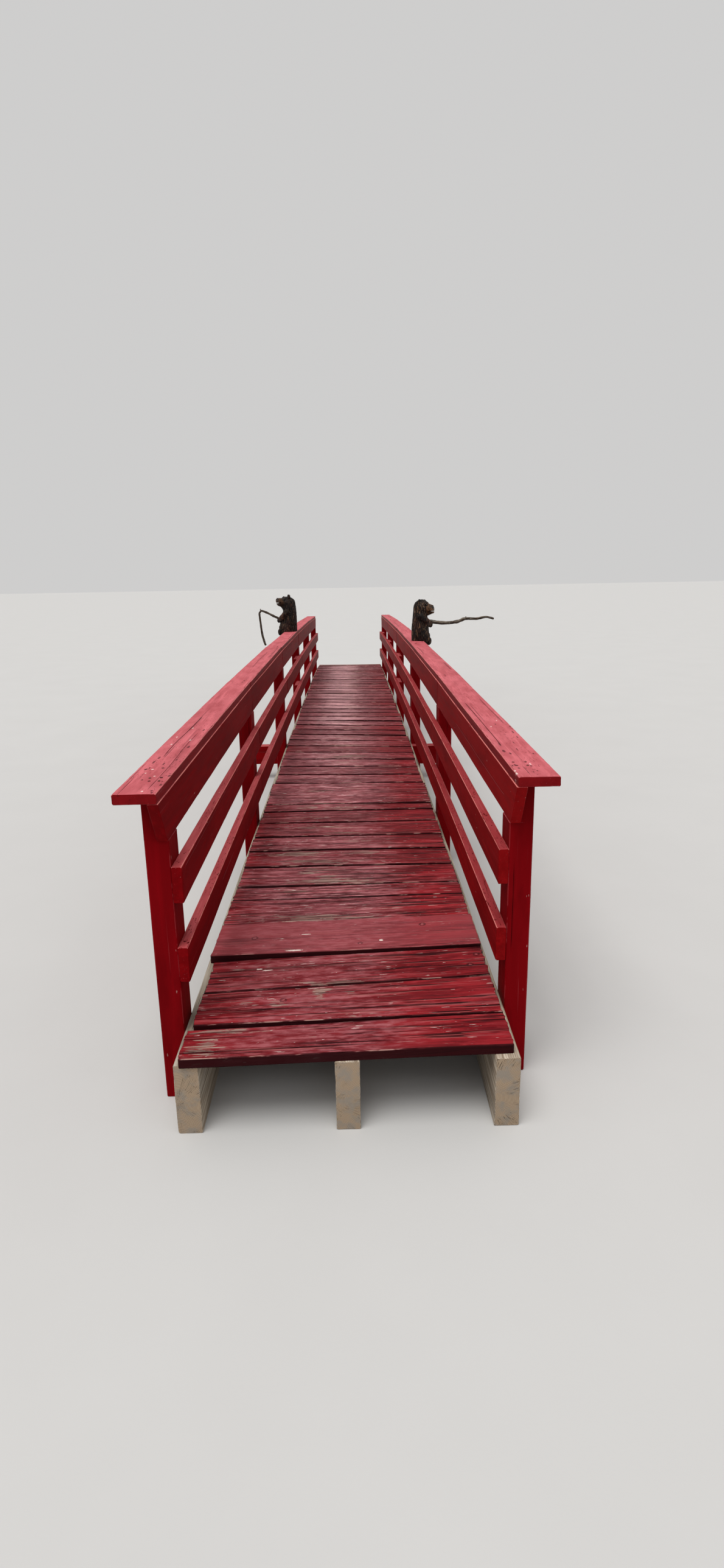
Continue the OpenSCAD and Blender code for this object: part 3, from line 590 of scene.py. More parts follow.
# ---------------------------------------------------------------- deck boards
# places where the paint is walked through: along the bridge, across, half length, half width, strength
PATCHES = [(-0.10, -0.52, .09, .07, .75), (0.00, -0.46, .16, .022, .8), (0.07, 0.0, .10, .02, .45), (0.19, -0.39, .06, .012, .8),
           (0.17, -0.28, .05, .03, .6), (0.25, -0.11, .035, .05, .95), (0.245, 0.015, .03, .03, .75), (0.33, -0.05, .19, .022, .9),
           (0.49, -0.36, .05, .025, .75), (0.46, -0.45, .04, .02, .6), (0.60, -0.25, .07, .012, .7), (0.70, -0.17, .04, .01, .6),
           (0.96, -0.15, .28, .045, 1.0), (1.07, -0.05, .30, .015, .5), (1.27, -0.28, .12, .02, .8), (1.28, 0.08, .14, .02, .5),
           (1.40, -0.10, .27, .05, .9), (1.46, -0.12, .06, .04, .95), (1.53, -0.22, .16, .03, .6), (1.59, -0.15, .18, .03, .65),
           (1.70, -0.20, .24, .05, .8), (1.84, -0.30, .22, .045, .9), (1.85, 0.06, .16, .05, .8), (2.04, 0.08, .2, .03, .4),
           (2.21, -0.05, .13, .03, .85), (2.33, -0.20, .28, .06, .55), (2.54, -0.25, .22, .05, .55), (2.55, 0.10, .12, .06, .4),
           (2.75, -0.05, .16, .05, .85), (2.78, -0.29, .08, .06, .75), (2.87, -0.18, .24, .022, .9), (2.86, 0.16, .12, .018, .7),
           (3.00, -0.26, .12, .022, .7), (3.22, -0.24, .14, .025, .8), (3.26, 0.05, .08, .04, .6), (3.6, -0.1, .22, .05, .35),
           (3.86, -0.15, .22, .04, .4), (4.13, 0.0, .2, .05, .5), (4.36, 0.0, .27, .07, .8), (4.63, -0.1, .25, .04, .6),
           (4.83, -0.08, .30, .05, .75), (4.97, -0.33, .06, .03, .8), (5.2, 0.0, .25, .08, .45), (5.74, 0.05, .2, .07, .6),
           (6.0, 0.0, .25, .08, .5), (6.5, 0.0, .25, .15, .5), (7.1, 0.0, .25, .2, .5), (7.8, 0.0, .25, .25, .5), (8.4, -0.1, .25, .2, .55),
           (9.2, 0.0, .25, .3, .5), (10.0, 0.0, .25, .3, .5), (10.6, 0.1, .3, .15, .7), (11.3, 0.1, .25, .2, .6), (12.0, 0.0, .25, .3, .5),
           (12.62, 0.0, .9, .13, 1.0)]
# how dark and how pink each near board has gone
DARK = (.38, .22, .40, .00, .00, .00, .00, .20, .05, .40, .55, .15, .00, .00)
PINK = (-.15, -.17, -.11, -.02, .10, .20, .18, .04, .14, .02, -.04, .08, .22, .22)


def board_edge(i):
    return Y0 + (sum(NEAR_W[:i]) if i <= 13 else sum(NEAR_W) + PITCH * (i - 13))


def lean(i):
    if i <= 13:
        return NEAR_LEAN[i]
    if i < 21:
        return NEAR_LEAN[13] + (MID_LEAN - NEAR_LEAN[13]) * (i - 13) / 8
    return MID_LEAN if i < NB_ - 10 else MID_LEAN + (END_LEAN - MID_LEAN) * (i - NB_ + 10) / 10


def deck_extra(smooth, pink):
    def f(W, V):
        x, y = W[:, 0], W[:, 1]
        b = np.zeros(len(W))
        for (py_, px_, hx, hy, st) in PATCHES:
            b = np.maximum(b, st * np.exp(-((x - px_) / hx) ** 2 - ((y - py_) / hy) ** 2))
        ends = np.clip((np.abs(x + 0.15) - 0.24) / 0.34, 0, 1)
        fade_and_sheen = 0.54 * (1 - ends ** 1.2) + 0.10 * np.exp(-((x + 0.08) / 0.28) ** 2) + pink
        # farther along the deck the middle goes much paler, and a little paler overall past 2.4 m: a painted sheen of
        # sky reflection laid over the walked pink
        far = np.clip((y - 3.2) / 4.5, 0, 1)
        fade_and_sheen = fade_and_sheen * (1 - far) + far * (0.30 + 1.14 * np.exp(-((x + 0.12) / 0.34) ** 2) + pink) + 0.06 * np.clip((y - 2.4) / 2.0, 0, 1)
        # the smoothest board keeps its paint from end to end
        dens = ends * (1 - 0.6 * far) * (1 - 0.95 * min(1.0, max(0.0, (smooth - 0.8) / 0.2))) - smooth
        return np.stack([b * 0.80, fade_and_sheen + 0.10 * smooth, dens], -1)
    return f


# joint widths at the left and right ends of each joint
GAPS = {0: (.014, .014), 1: (.018, .009), 2: (.009, .011), 3: (.010, .010), 4: (.010, .022), 5: (.006, .007), 6: (.011, .009), 7: (.010, .011),
        8: (.010, .007), 9: (.011, .009), 10: (.009, .009), 11: (.006, .006), 12: (.007, .011), 13: (.011, .020), 17: (.017, .016),
        21: (.022, .021), 24: (.017, .018), 31: (.020, .016), 40: (.018, .022), 39: (.012, .020), 48: (.016, .016)}
DEF_GAP = (.008, .009, .011, .012)
FAR_GAP = (.012, .014, .017, .013)
for gidx in range(6):
    pc = Piece("boards_%d" % (gidx + 1))
    for i in range(gidx * 8, gidx * 8 + 8):
        rs = np.random.RandomState(1000 + i)
        near = i < 14
        g0, g1 = (GAPS.get(q, ((FAR_GAP if q > 20 else DEF_GAP)[(q * 7) % 4],) * 2) for q in (i, i + 1))
        w = board_edge(i + 1) - board_edge(i) - 0.008
        # near and far edges of each board above its neighbours, left and right
        up0, up1 = {0: ((-.004, -.003), (-.004, -.002)), 1: ((.006, .001), (.001, .001)), 2: ((-.001, -.001), (-.003, -.001)),
                    3: ((.019, .008), (.007, .011)), 4: ((-.003, -.004), (-.002, -.001)), 5: ((.0, .0), (.001, .001)),
                    12: ((.001, .002), (.004, .005)), 13: ((-.004, -.005), (.0, .0))}.get(
                        i, (tuple(rs.uniform(.0005, .0045, 2)), tuple(rs.uniform(-.0045, -.0005, 2))))
        smooth = {3: 1.0, 47: 0.7, 0: 0.80, 1: 0.55, 2: 0.35, 12: 0.3, 13: 0.2}.get(i, 0.0)
        cup = rs.uniform(-0.0018, 0.0022) if i != 3 else 0.0005
        nl, nr = rs.uniform(0.000, 0.010 if near else 0.018, 2)
        if i in (1, 2):
            nl = 0.018
        if i == 3:
            nl = nr = 0.002
        Lb = 1.204 - nl - nr
        ncr = (3 if near else 2) if i == 3 else (6 if near else 5)
        cr = cracks(rs, Lb, w, ncr, wmax=0.0024, dmax=0.009, lmin=0.12, lmax=0.6)
        if i == 3:
            # one long check down the middle of the pale board
            cr = [c for c in cr if abs(c["pos"] + 0.004) > 0.012] + [dict(pos=-0.004, l0=0.03, l1=1.3, w=0.0007, d=0.005, face="t")]
        # splits that run in from the ends
        for q in range(3 if near else 2):
            p = rs.uniform(-w / 2 + 0.015, w / 2 - 0.015)
            if i == 3 or any(abs(p - c["pos"]) < 0.009 for c in cr):
                continue
            ln = rs.uniform(0.06, 0.2)
            cr.append(dict(pos=p, l0=-0.2, l1=ln, w=0.0014, d=0.010, face="t") if rs.rand() < 0.5 else
                      dict(pos=p, l0=Lb - ln, l1=Lb + 0.2, w=0.0014, d=0.010, face="t"))
        got = plank(Lb, w, 0.038, 3000 + 17 * i, step=0.022 if near else 0.035, ca=9 if near else 6, cb=2, r=0.003,
                    top_cr=cr, fibre=0.00045, bow=0.0010, chip=0.0024 if i != 3 else 0.001,
                    ragged=0.004 if i == 3 else rs.uniform(0.006, 0.012), drift=0.006, off=(100.0 + 10 * i, 50.0, 50.0) if i < 4 else None)
        got = got[:4] + (DARK[i] if i < 14 else (0.0, 0.12, 0.55, 0.05, 0.30, 0.0, 0.90, 0.18, 0.03, 0.62, 0.10)[(i * 5) % 11],)

        def fn(l, a, b, i=i, nl=nl, w=w, g0=g0, g1=g1, up0=up0, up1=up1, cup=cup, ph=rs.uniform(0, 9)):
            x = -0.602 + nl + l
            u = x / 1.2 + 0.5
            ya = board_edge(i) + lean(i) * x / 1.2 + (g0[0] + (g0[1] - g0[0]) * u) / 2
            yb = board_edge(i + 1) + lean(i + 1) * x / 1.2 - (g1[0] + (g1[1] - g1[0]) * u) / 2
            t = a / w + 0.5
            y = ya + (yb - ya) * t
            za = up0[0] + (up0[1] - up0[0]) * u; zb = up1[0] + (up1[1] - up1[0]) * u
            z = top((ya + yb) / 2) + (top(yb) - top(ya)) * (t - 0.5) - 0.019 + b + za + (zb - za) * t
            z = z + cup * ((2 * t - 1) ** 2 - 0.5) * (b > 0) + 0.0010 * np.sin(x * 5 + ph)
            return x, y, z
        pink = PINK[i] if i < 14 else rs.uniform(-0.12, 0.26)
        pc.add(got, fn, deck_extra(smooth, pink))
    pc.build(DECKM, "deck_%d" % (gidx + 1))

# ---------------------------------------------------------------- beams
for nm, xc in (("beam_left", -(POST_IN - 0.0445)), ("beam_middle", 0.0), ("beam_right", POST_IN - 0.0445)):
    pc = Piece("timber_" + nm)
    rs = np.random.RandomState(len(nm) * 7)
    got = plank(LEN, 0.286, 0.089, 50 + len(nm), step=0.11, ca=6, cb=4, r=0.004, bow=0.0,
                side_cr=[], top_cr=cracks(rs, LEN, 0.286, 5, wmax=0.002, dmax=0.008, lmin=0.6, lmax=3.0, faces="tb"), fibre=0.0006, chip=0.002)

    def fn(l, a, b, xc=xc):
        y = Y0 + l
        zt = top(y) - 0.0385; zb = np.maximum(0.0, rise(y) - SEAT)
        t = (a + 0.143) / 0.286
        return xc + b, y, zb + np.clip(t, 0, 1) * (zt - zb)
    pith = rs.uniform(0.03, 0.09)
    pc.add(got, fn, lambda W, V: np.stack([V[:, 1] + 0.02, V[:, 2] + pith, 0 * V[:, 0]], -1))
    pc.build(BARE, nm)


# ---------------------------------------------------------------- posts
SIDES = {"left": -1, "right": 1}
for side, s in SIDES.items():
    for k in range(6):
        y = py(s, k)
        zb = max(0.0, rise(y) - SEAT); zt = top(y) + CAP_H - CAP_T - 0.002
        L = zt - zb
        rs = np.random.RandomState(200 + 10 * k + (s > 0))
        near = k < 2
        cr = cracks(rs, L, POST_W, 1, wmin=0.0003, wmax=0.0007, dmax=0.004, lmin=0.12, lmax=0.45, faces="tb")
        sc = cracks(rs, L, POST_D, 2, wmin=0.0003, wmax=0.0008, dmax=0.005, lmin=0.15, lmax=0.5, faces="lr")
        for c in sc:
            c["pos"] *= 1.0
        # width across the bridge is a, along the bridge is b (top face of the plank looks back to -Y)
        got = plank(L, POST_W, POST_D, 400 + 13 * k + (s > 0), step=0.02 if near else 0.035, ca=5, cb=6, r=0.004,
                    top_cr=cr, side_cr=sc, fibre=0.0003, bow=0.0, chip=0.0020)
        lean = rs.uniform(-0.002, 0.002)

        def fn(l, a, b, y=y, zb=zb, zt=zt, s=s):
            z = zb + l
            up = z > zt - FAS_D
            # above the notch the section steps back behind the fascia
            aa = np.where(up, POST_W / 2 - (POST_W / 2 - a) * (POST_W - RAIL_T - 0.001) / POST_W, a)
            return s * (POST_IN + POST_W / 2 + aa), y - b, z
        # two rings close together make the step
        V = got[0]
        ls = np.unique(np.round(V[:, 0], 7))
        step_l = L - FAS_D
        near_lo = ls[ls < step_l][-1]; near_hi = ls[ls > step_l][0]
        d = V[:, 0]
        V[np.isclose(d, near_lo, atol=1e-5), 0] = step_l - 0.0004
        V[np.isclose(d, near_hi, atol=1e-5), 0] = step_l + 0.0004
        pc = Piece("timber_post_%s_%d" % (side, k + 1))
        pc.add(got, fn)
        pc.build(POSTM, "post_%s_%d" % (side, k + 1))


# ---------------------------------------------------------------- caps, fascias, rails
def spans(s, over):
    for k in range(5):
        ya = py(s, 0) - POST_D / 2 - over if k == 0 else py(s, k) + 0.0015
        yb = py(s, 5) + POST_D / 2 + over if k == 4 else py(s, k + 1) - 0.0015
        yield k, ya, yb


def board_run(name, node, s, x0, x1, z0, z1, over, flat, material, seed, rake=0.0, jog=0.0015, ncr=3, chip=0.0020, r=0.003, off=None):
    """lengths of board from post to post; flat: wide face up (cap), else on edge"""
    pc = Piece(name)
    for k, ya, yb in spans(s, over):
        rs = np.random.RandomState(seed + k)
        L = yb - ya
        W, T = (x1 - x0, z1 - z0) if flat else (z1 - z0, x1 - x0)
        near = k == 0
        cr = cracks(rs, L, W, ncr if k < 2 else max(1, ncr - 1), lmin=0.3, lmax=1.5, dmax=0.006, faces="t" if flat else "tb")
        got = plank(L, W, T, seed * 3 + 11 * k, step=0.022 if near else 0.04, ca=7 if near else 5, cb=2, r=r,
                    top_cr=cr, fibre=0.0003, bow=0.0012, chip=chip, drift=0.005, off=off if near else None)
        dx, dz = rs.uniform(-jog, 0.3 * jog), rs.uniform(-jog, jog)
        if k == 0:
            dx = 0.0

        def fn(l, a, b, ya=ya, yb=yb, L=L, k=k, W=W, T=T, dx=dx, dz=dz):
            if flat:
                x = (x0 + x1) / 2 + a; h = (z0 + z1) / 2 + b
            else:
                x = (x0 + x1) / 2 - b; h = (z0 + z1) / 2 + a
            y = ya + l
            if rake:
                t = np.clip(1 - (h - z0) / (z1 - z0), 0, 1)
                lo = ya + (rake * t if k == 0 else 0); hi = yb - (rake * t if k == 4 else 0)
                # only the last 150 mm of the board leans, so the grain stays straight
                if k == 0:
                    y = np.where(l < 0.3, lo + (ya + 0.3 - lo) * l / 0.3, ya + l)
                if k == 4:
                    y = np.where(L - l < 0.3, hi - (hi - (yb - 0.3)) * (L - l) / 0.3, ya + l)
            z = top(py(s, k)) + (y - py(s, k)) * (top(py(s, k + 1)) - top(py(s, k))) / SP + h + dz * (l / L if k else 1.0) * (0 if k == 0 else 1)
            return s * (x + dx * (0.5 - l / L) * 2), y, z
        pc.add(got, fn)
    return pc.build(material, node)


for side, s in SIDES.items():
    sd = 700 if s > 0 else 500
    board_run("cap_boards_" + side, "cap_" + side, s, CAP_IN, CAP_IN + CAP_W, CAP_H - CAP_T, CAP_H, OVER, True, CAPMS[s], sd + 1, ncr=2, chip=0.0026, r=0.004, off=CAP_MARKS[s]["org"] + (50.0,))
    board_run("fascia_boards_" + side, "fascia_" + side, s, POST_IN, POST_IN + RAIL_T, CAP_H - CAP_T - FAS_D, CAP_H - CAP_T - 0.0004, OVER, False, FASM_SHADED_LIT[s], sd + 31, rake=RAKE, jog=0.001, ncr=1, chip=0.0022)
    for nm, h, q in (("mid", MID_H, 61), ("low", LOW_H, 91)):
        board_run("%s_rail_boards_%s" % (nm, side), "%s_rail_%s" % (nm, side), s, POST_IN - RAIL_T, POST_IN, h, h + RAIL_D, 0.0, False, RED_RIGHT_LIT if s > 0 else RED, sd + q, jog=0.001, ncr=2, chip=0.0024)


# ---------------------------------------------------------------- splice blocks and cross beams
def block(pc, L, W, T, seed, fn, **kw):
    rs = np.random.RandomState(seed)
    pc.add(plank(L, W, T, seed, step=0.025, ca=5, cb=2, top_cr=cracks(rs, L, W, 2, lmin=0.15, lmax=0.4, faces="tb"), chip=0.0022, **kw), fn)


for side, s, sets in (("left", -1, [(3, MID_H), (3, LOW_H)]), ("right", 1, [(3, MID_H), (4, MID_H), (5, MID_H), (3, LOW_H)])):
    pc = Piece("splice_blocks_" + side)
    for j, (k, h) in enumerate(sets):
        y1 = py(s, k) - POST_D / 2; y0 = y1 - 0.42

        def fn(l, a, b, s=s, k=k, h=h, y0=y0):
            y = y0 + l
            z = top(py(s, k - 1)) + (y - py(s, k - 1)) * (top(py(s, k)) - top(py(s, k - 1))) / SP + h + RAIL_D / 2 + a
            return s * (POST_IN + 0.0195 + b), y, z
        block(pc, 0.42, RAIL_D - 0.001, RAIL_T - 0.001, 900 + 20 * j + (s > 0), fn)
    pc.build(RED, "splices_" + side)
    y0 = py(s, 2) + POST_D / 2 + 0.001 if s < 0 else py(s, 2) - POST_D / 2 - 0.001 - 0.089
    zt = top(y0) - 0.038 - 0.008
    pc = Piece("cross_timber_" + side)

    def fn(l, a, b, s=s, y0=y0, zt=zt):
        return s * (POST_IN + 0.0005 + l), y0 + 0.0445 + b, zt - 0.092 + a
    block(pc, 0.960 - POST_IN - 0.0005, 0.184, 0.089, 940 + (s > 0), fn, r=0.004)
    pc.build(RED, "cross_beam_" + side)

# ---------------------------------------------------------------- nail heads
def nail_material():
    g = NB("painted_nail")
    tc = g.n("ShaderNodeTexCoord").outputs["Object"]
    n = g.noise(tc, 420, 3, 0.6)
    b_ = g.noise(tc, 60, 2, 0.5)
    col = g.mix(g.rng(n, 0.35, 0.65), (0.050, 0.0060, 0.0070), (0.130, 0.0160, 0.0180))
    col = g.mix(g.math("MULTIPLY", g.rng(b_, 0.48, 0.60), 0.8), col, (0.085, 0.035, 0.022))
    return g.finish(col, g.rng(n, 0.3, 0.7, 0.45, 0.70), g.bump(n, 0.0004, 0.8), 0.15)


def nails(name, spots, rad):
    """driven heads: a shallow dome with a chamfered rim, dented by the hammer; spots are (x, y, z) of the timber face"""
    m = 14
    V, F, n0 = [], [], 0
    for q, (x, y, z) in enumerate(spots):
        rs = np.random.RandomState(7000 + q)
        r = rad * rs.uniform(0.88, 1.1)
        tx, ty = rs.uniform(-0.06, 0.06, 2)
        th = np.arange(m) / m * 2 * math.pi + rs.uniform(0, 1)
        rings = ((1.0, -0.0016), (1.0, 0.0004), (0.86, 0.0009), (0.45, 0.0010))
        for k, (f, h) in enumerate(rings):
            w = 1 + 0.04 * np.sin(3 * th + rs.uniform(0, 6))
            px_, py_ = f * r * w * np.cos(th), f * r * w * np.sin(th)
            V.append(np.stack([x + px_, y + py_, z + h + tx * px_ + ty * py_], -1))
        V.append(np.array([[x, y, z + 0.0008 * rs.uniform(0.2, 1.2)]]))
        for k in range(3):
            for j in range(m):
                a, b_ = n0 + k * m + j, n0 + k * m + (j + 1) % m
                F.append((a, b_, b_ + m, a + m))
        c = n0 + 4 * m
        for j in range(m):
            F.append((n0 + 3 * m + j, n0 + 3 * m + (j + 1) % m, c))
        F.append(tuple(n0 + j for j in range(m - 1, -1, -1)))
        n0 += 4 * m + 1
    V = np.concatenate(V)
    me = bpy.data.meshes.new(name)
    me.from_pydata(V.tolist(), [], F)
    me.validate()
    me.polygons.foreach_set("use_smooth", np.ones(len(me.polygons), bool))
    me.set_sharp_from_angle(angle=math.radians(50))
    o = bpy.data.objects.new(name, me)
    bpy.context.scene.collection.objects.link(o)
    me.materials.append(NAILM)
    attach(o, "root")
    return o


NAILM = nail_material()
for side, s in SIDES.items():
    rs = np.random.RandomState(60 + s)
    sp = []
    for k in range(6):
        y = py(s, k)
        for dy in ((-0.026, 0.024) if k in (0, 5) else (-0.030, 0.031)):
            for dx in ((0.046,) if k in (1, 2, 3, 4) else (0.030, 0.066)):
                yy = y + dy + rs.uniform(-.006, .006)
                xx = CAP_IN + dx + rs.uniform(-.008, .008)
                q = seg(s, yy)
                sp.append((s * xx, yy, chord(s, q, yy) + CAP_H + 0.0010))
    nails("cap_nails_" + side, sp, 0.0052)

# ---------------------------------------------------------------- carved bears and their fishing poles
def vn3(p, seed, n=41):
    r = np.random.RandomState(seed).uniform(-1, 1, (n, n, n))
    i = np.floor(p).astype(int)
    f = p - i
    f = f * f * (3 - 2 * f)
    x, y, z = i[..., 0], i[..., 1], i[..., 2]
    a, b, c = f[..., 0], f[..., 1], f[..., 2]
    g = lambda dx, dy, dz: r[(x + dx) % n, (y + dy) % n, (z + dz) % n]
    u = (g(0, 0, 0) * (1 - a) + g(1, 0, 0) * a) * (1 - b) + (g(0, 1, 0) * (1 - a) + g(1, 1, 0) * a) * b
    v = (g(0, 0, 1) * (1 - a) + g(1, 0, 1) * a) * (1 - b) + (g(0, 1, 1) * (1 - a) + g(1, 1, 1) * a) * b
    return u * (1 - c) + v * c


def smin(a, b, k):
    h = np.clip(0.5 + 0.5 * (b - a) / k, 0, 1)
    return b * (1 - h) + a * h - k * h * (1 - h)


def ellip(p, c, r, rz=0.0, ry=0.0):
    q = p - np.array(c)
    if rz:
        cs, sn = math.cos(rz), math.sin(rz)
        q = np.stack([q[..., 0] * cs + q[..., 1] * sn, -q[..., 0] * sn + q[..., 1] * cs, q[..., 2]], -1)
    if ry:
        cs, sn = math.cos(ry), math.sin(ry)
        q = np.stack([q[..., 0] * cs - q[..., 2] * sn, q[..., 1], q[..., 0] * sn + q[..., 2] * cs], -1)
    r = np.array(r)
    k0 = np.sqrt(((q / r) ** 2).sum(-1)) + 1e-9
    k1 = np.sqrt(((q / r ** 2) ** 2).sum(-1)) + 1e-9
    return k0 * (k0 - 1) / k1


def limb(p, a, b, ra, rb):
    a, b = np.array(a), np.array(b)
    ab = b - a
    t = np.clip(((p - a) @ ab) / (ab @ ab), 0, 1)
    d = p - (a + t[..., None] * ab)
    return np.sqrt((d ** 2).sum(-1)) - (ra + (rb - ra) * t)


def nets(F, org, h):
    """quads round the zero level of a grid of values"""
    s = F < 0
    nx, ny, nz = F.shape
    cell = (nx - 1, ny - 1, nz - 1)
    acc = np.zeros(cell + (3,)); cnt = np.zeros(cell)
    gi = np.stack(np.meshgrid(*[np.arange(m) for m in cell], indexing="ij"), -1).astype(float)
    offs = [(0, 0, 0), (1, 0, 0), (0, 1, 0), (1, 1, 0), (0, 0, 1), (1, 0, 1), (0, 1, 1), (1, 1, 1)]
    sl = lambda o: tuple(slice(o[k], o[k] + cell[k]) for k in range(3))
    for ia, oa in enumerate(offs):
        for ob in offs[ia + 1:]:
            if sum(abs(oa[k] - ob[k]) for k in range(3)) != 1:
                continue
            fa, fb = F[sl(oa)], F[sl(ob)]
            m = (fa < 0) != (fb < 0)
            t = np.where(m, fa / np.where(m, fa - fb, 1), 0)
            pos = np.array(oa, float) + t[..., None] * (np.array(ob, float) - np.array(oa, float))
            acc += np.where(m[..., None], pos, 0); cnt += m
    has = cnt > 0
    vid = -np.ones(cell, int)
    vid[has] = np.arange(has.sum())
    V = (gi[has] + acc[has] / cnt[has][:, None]) * h + np.array(org)
    Q = []
    for ax in range(3):
        a = [slice(None)] * 3; b = [slice(None)] * 3
        a[ax] = slice(0, -1); b[ax] = slice(1, None)
        sa, sb = s[tuple(a)], s[tuple(b)]
        u, v = (ax + 1) % 3, (ax + 2) % 3
        for flip, m in ((False, sa & ~sb), (True, ~sa & sb)):
            I = np.argwhere(m)
            I = I[(I[:, u] > 0) & (I[:, v] > 0) & (I[:, u] < F.shape[u] - 1) & (I[:, v] < F.shape[v] - 1)]
            if not len(I):
                continue
            def at(du, dv):
                J = I.copy(); J[:, u] -= du; J[:, v] -= dv
                return vid[J[:, 0], J[:, 1], J[:, 2]]
            q = np.stack([at(1, 1), at(0, 1), at(0, 0), at(1, 0)], -1)
            Q.append(q[:, ::-1] if flip else q)
    Q = np.concatenate(Q)
    return V, Q[(Q >= 0).all(1)]


def bear_field(p, B):
    """a sitting bear cut from a log: f outward, t along the rail, z up from the cap"""
    f, t, z = p[..., 0], p[..., 1], p[..., 2]
    th, hx = B["turn"], B["hx"]
    cs, sn = math.cos(th), math.sin(th)
    hp = lambda x, y, zc: (hx + x * cs - y * sn, x * sn + y * cs, zc)
    zz = B["z"]
    bk, fr, w = (np.interp(z, zz, B[k]) for k in ("back", "front", "wide"))
    c, a = (bk + fr) / 2, (fr - bk) / 2
    body = (np.sqrt(((f - c) / a) ** 2 + (t / w) ** 2) - 1) * np.minimum(a, w)
    body = np.maximum(body, z - zz[-1])
    # a broad skull, a deep blunt muzzle and a jaw that slopes back to the throat
    zs, zm, tip, mr = B["skull"], B["muzzle"], B["tip"], B["mr"]
    head = ellip(p, hp(zs[0], 0, zs[1]), (zs[2], 0.086, B["sv"]), rz=th)
    m = limb(p, hp(0.045, 0, zm[0]), hp(tip + 0.01, 0, zm[1]), mr[0], mr[1])
    # the end of the muzzle is sawn off blunt
    x = (f - hx) * cs + t * sn; y = -(f - hx) * sn + t * cs
    m = np.maximum(m, x + (z - zm[1]) * B["slant"] - tip)
    jaw = limb(p, hp(0.022, 0, zm[0] - 0.062), hp(tip - 0.036, 0, zm[1] - 0.020), 0.044, 0.028)
    head = smin(smin(head, m, 0.012), jaw, 0.012)
    brow = limb(p, hp(0.058, -0.034, zm[0] + mr[0] * 0.74), hp(0.058, 0.034, zm[0] + mr[0] * 0.74), 0.015, 0.015)
    head = smin(head, brow, 0.012)
    # mouth and eye hollows
    head = np.maximum(head, -ellip(p, hp(tip - 0.010, 0, zm[1] - 0.016), (0.046, 0.060, 0.0030), rz=th))
    for q in (-1, 1):
        head = np.maximum(head, -ellip(p, hp(0.074, q * 0.040, zm[0] + mr[0] * 0.50), (0.013, 0.011, 0.010), rz=th))
    d = smin(body, head, 0.018)
    for q in (-1, 1):
        ex, ey, ez = B["ear"][0 if q < 0 else 1]
        ear = ellip(p, hp(ex, ey, ez), (0.016, 0.028, 0.028), rz=th)
        ear = np.maximum(ear, -ellip(p, hp(ex + 0.015, ey, ez + 0.003), (0.011, 0.017, 0.017), rz=th))
        d = smin(d, ear, 0.006)
        sh, el, pw = B["arm"]
        arm = limb(p, (sh[0], q * sh[1], sh[2]), (el[0], q * el[1], el[2]), 0.036, 0.031)
        arm = smin(arm, limb(p, (el[0], q * el[1], el[2]), (pw[0], q * pw[1], pw[2]), 0.031, 0.023), 0.006)
        arm = smin(arm, ellip(p, (pw[0] + 0.002, q * (pw[1] - 0.004), pw[2] - 0.002), (0.023, 0.026, 0.028)), 0.005)
        # a saw cut frees the arm from the belly
        cut = limb(p, (el[0] - 0.045, q * (el[1] + 0.020), el[2] - 0.030), (pw[0] + 0.005, q * 0.095, pw[2] - 0.050), 0.009, 0.014)
        d = np.maximum(d, -cut)
        d = smin(d, arm, 0.006)
        lg = B["leg"]
        leg = ellip(p, (lg - 0.062, q * 0.064, 0.050), (0.066, 0.044, 0.058), ry=0.15)
        foot = ellip(p, (lg - 0.004, q * 0.058, -0.004), (0.024, 0.030, 0.040))
        d = smin(d, smin(leg, foot, 0.008), 0.008)
        # claws scored in the feet
        for k in (-1, 0, 1):
            d = np.maximum(d, -limb(p, (lg + 0.023, q * 0.058 + k * 0.014, 0.028), (lg + 0.021, q * 0.058 + k * 0.014, -0.044), 0.0016, 0.0016))
    fur, face = fur_field(f, t, z, x, B)
    return d - fur


def fur_field(f, t, z, x, B):
    """chains of short upright saw gouges, shallower on the face"""
    face = np.clip((x - 0.030) / 0.045, 0, 1) * np.clip((z - B["muzzle"][0] + 0.075) / 0.03, 0, 1)
    n = vn3(np.stack([f * 74, t * 74, z * 19], -1) + B["seed"], B["seed"])
    n2 = vn3(np.stack([f * 130, t * 130, z * 44], -1) + 7, B["seed"] + 1)
    cut = np.clip(1 - np.abs(n) * 3.2, 0, 1) ** 1.3
    amp = 1 - 0.7 * face
    return (0.0008 - 0.0062 * cut + 0.0014 * n2) * amp + 0.0028 * vn3(np.stack([f * 24, t * 24, z * 13], -1) + B["seed"], B["seed"] + 2), face


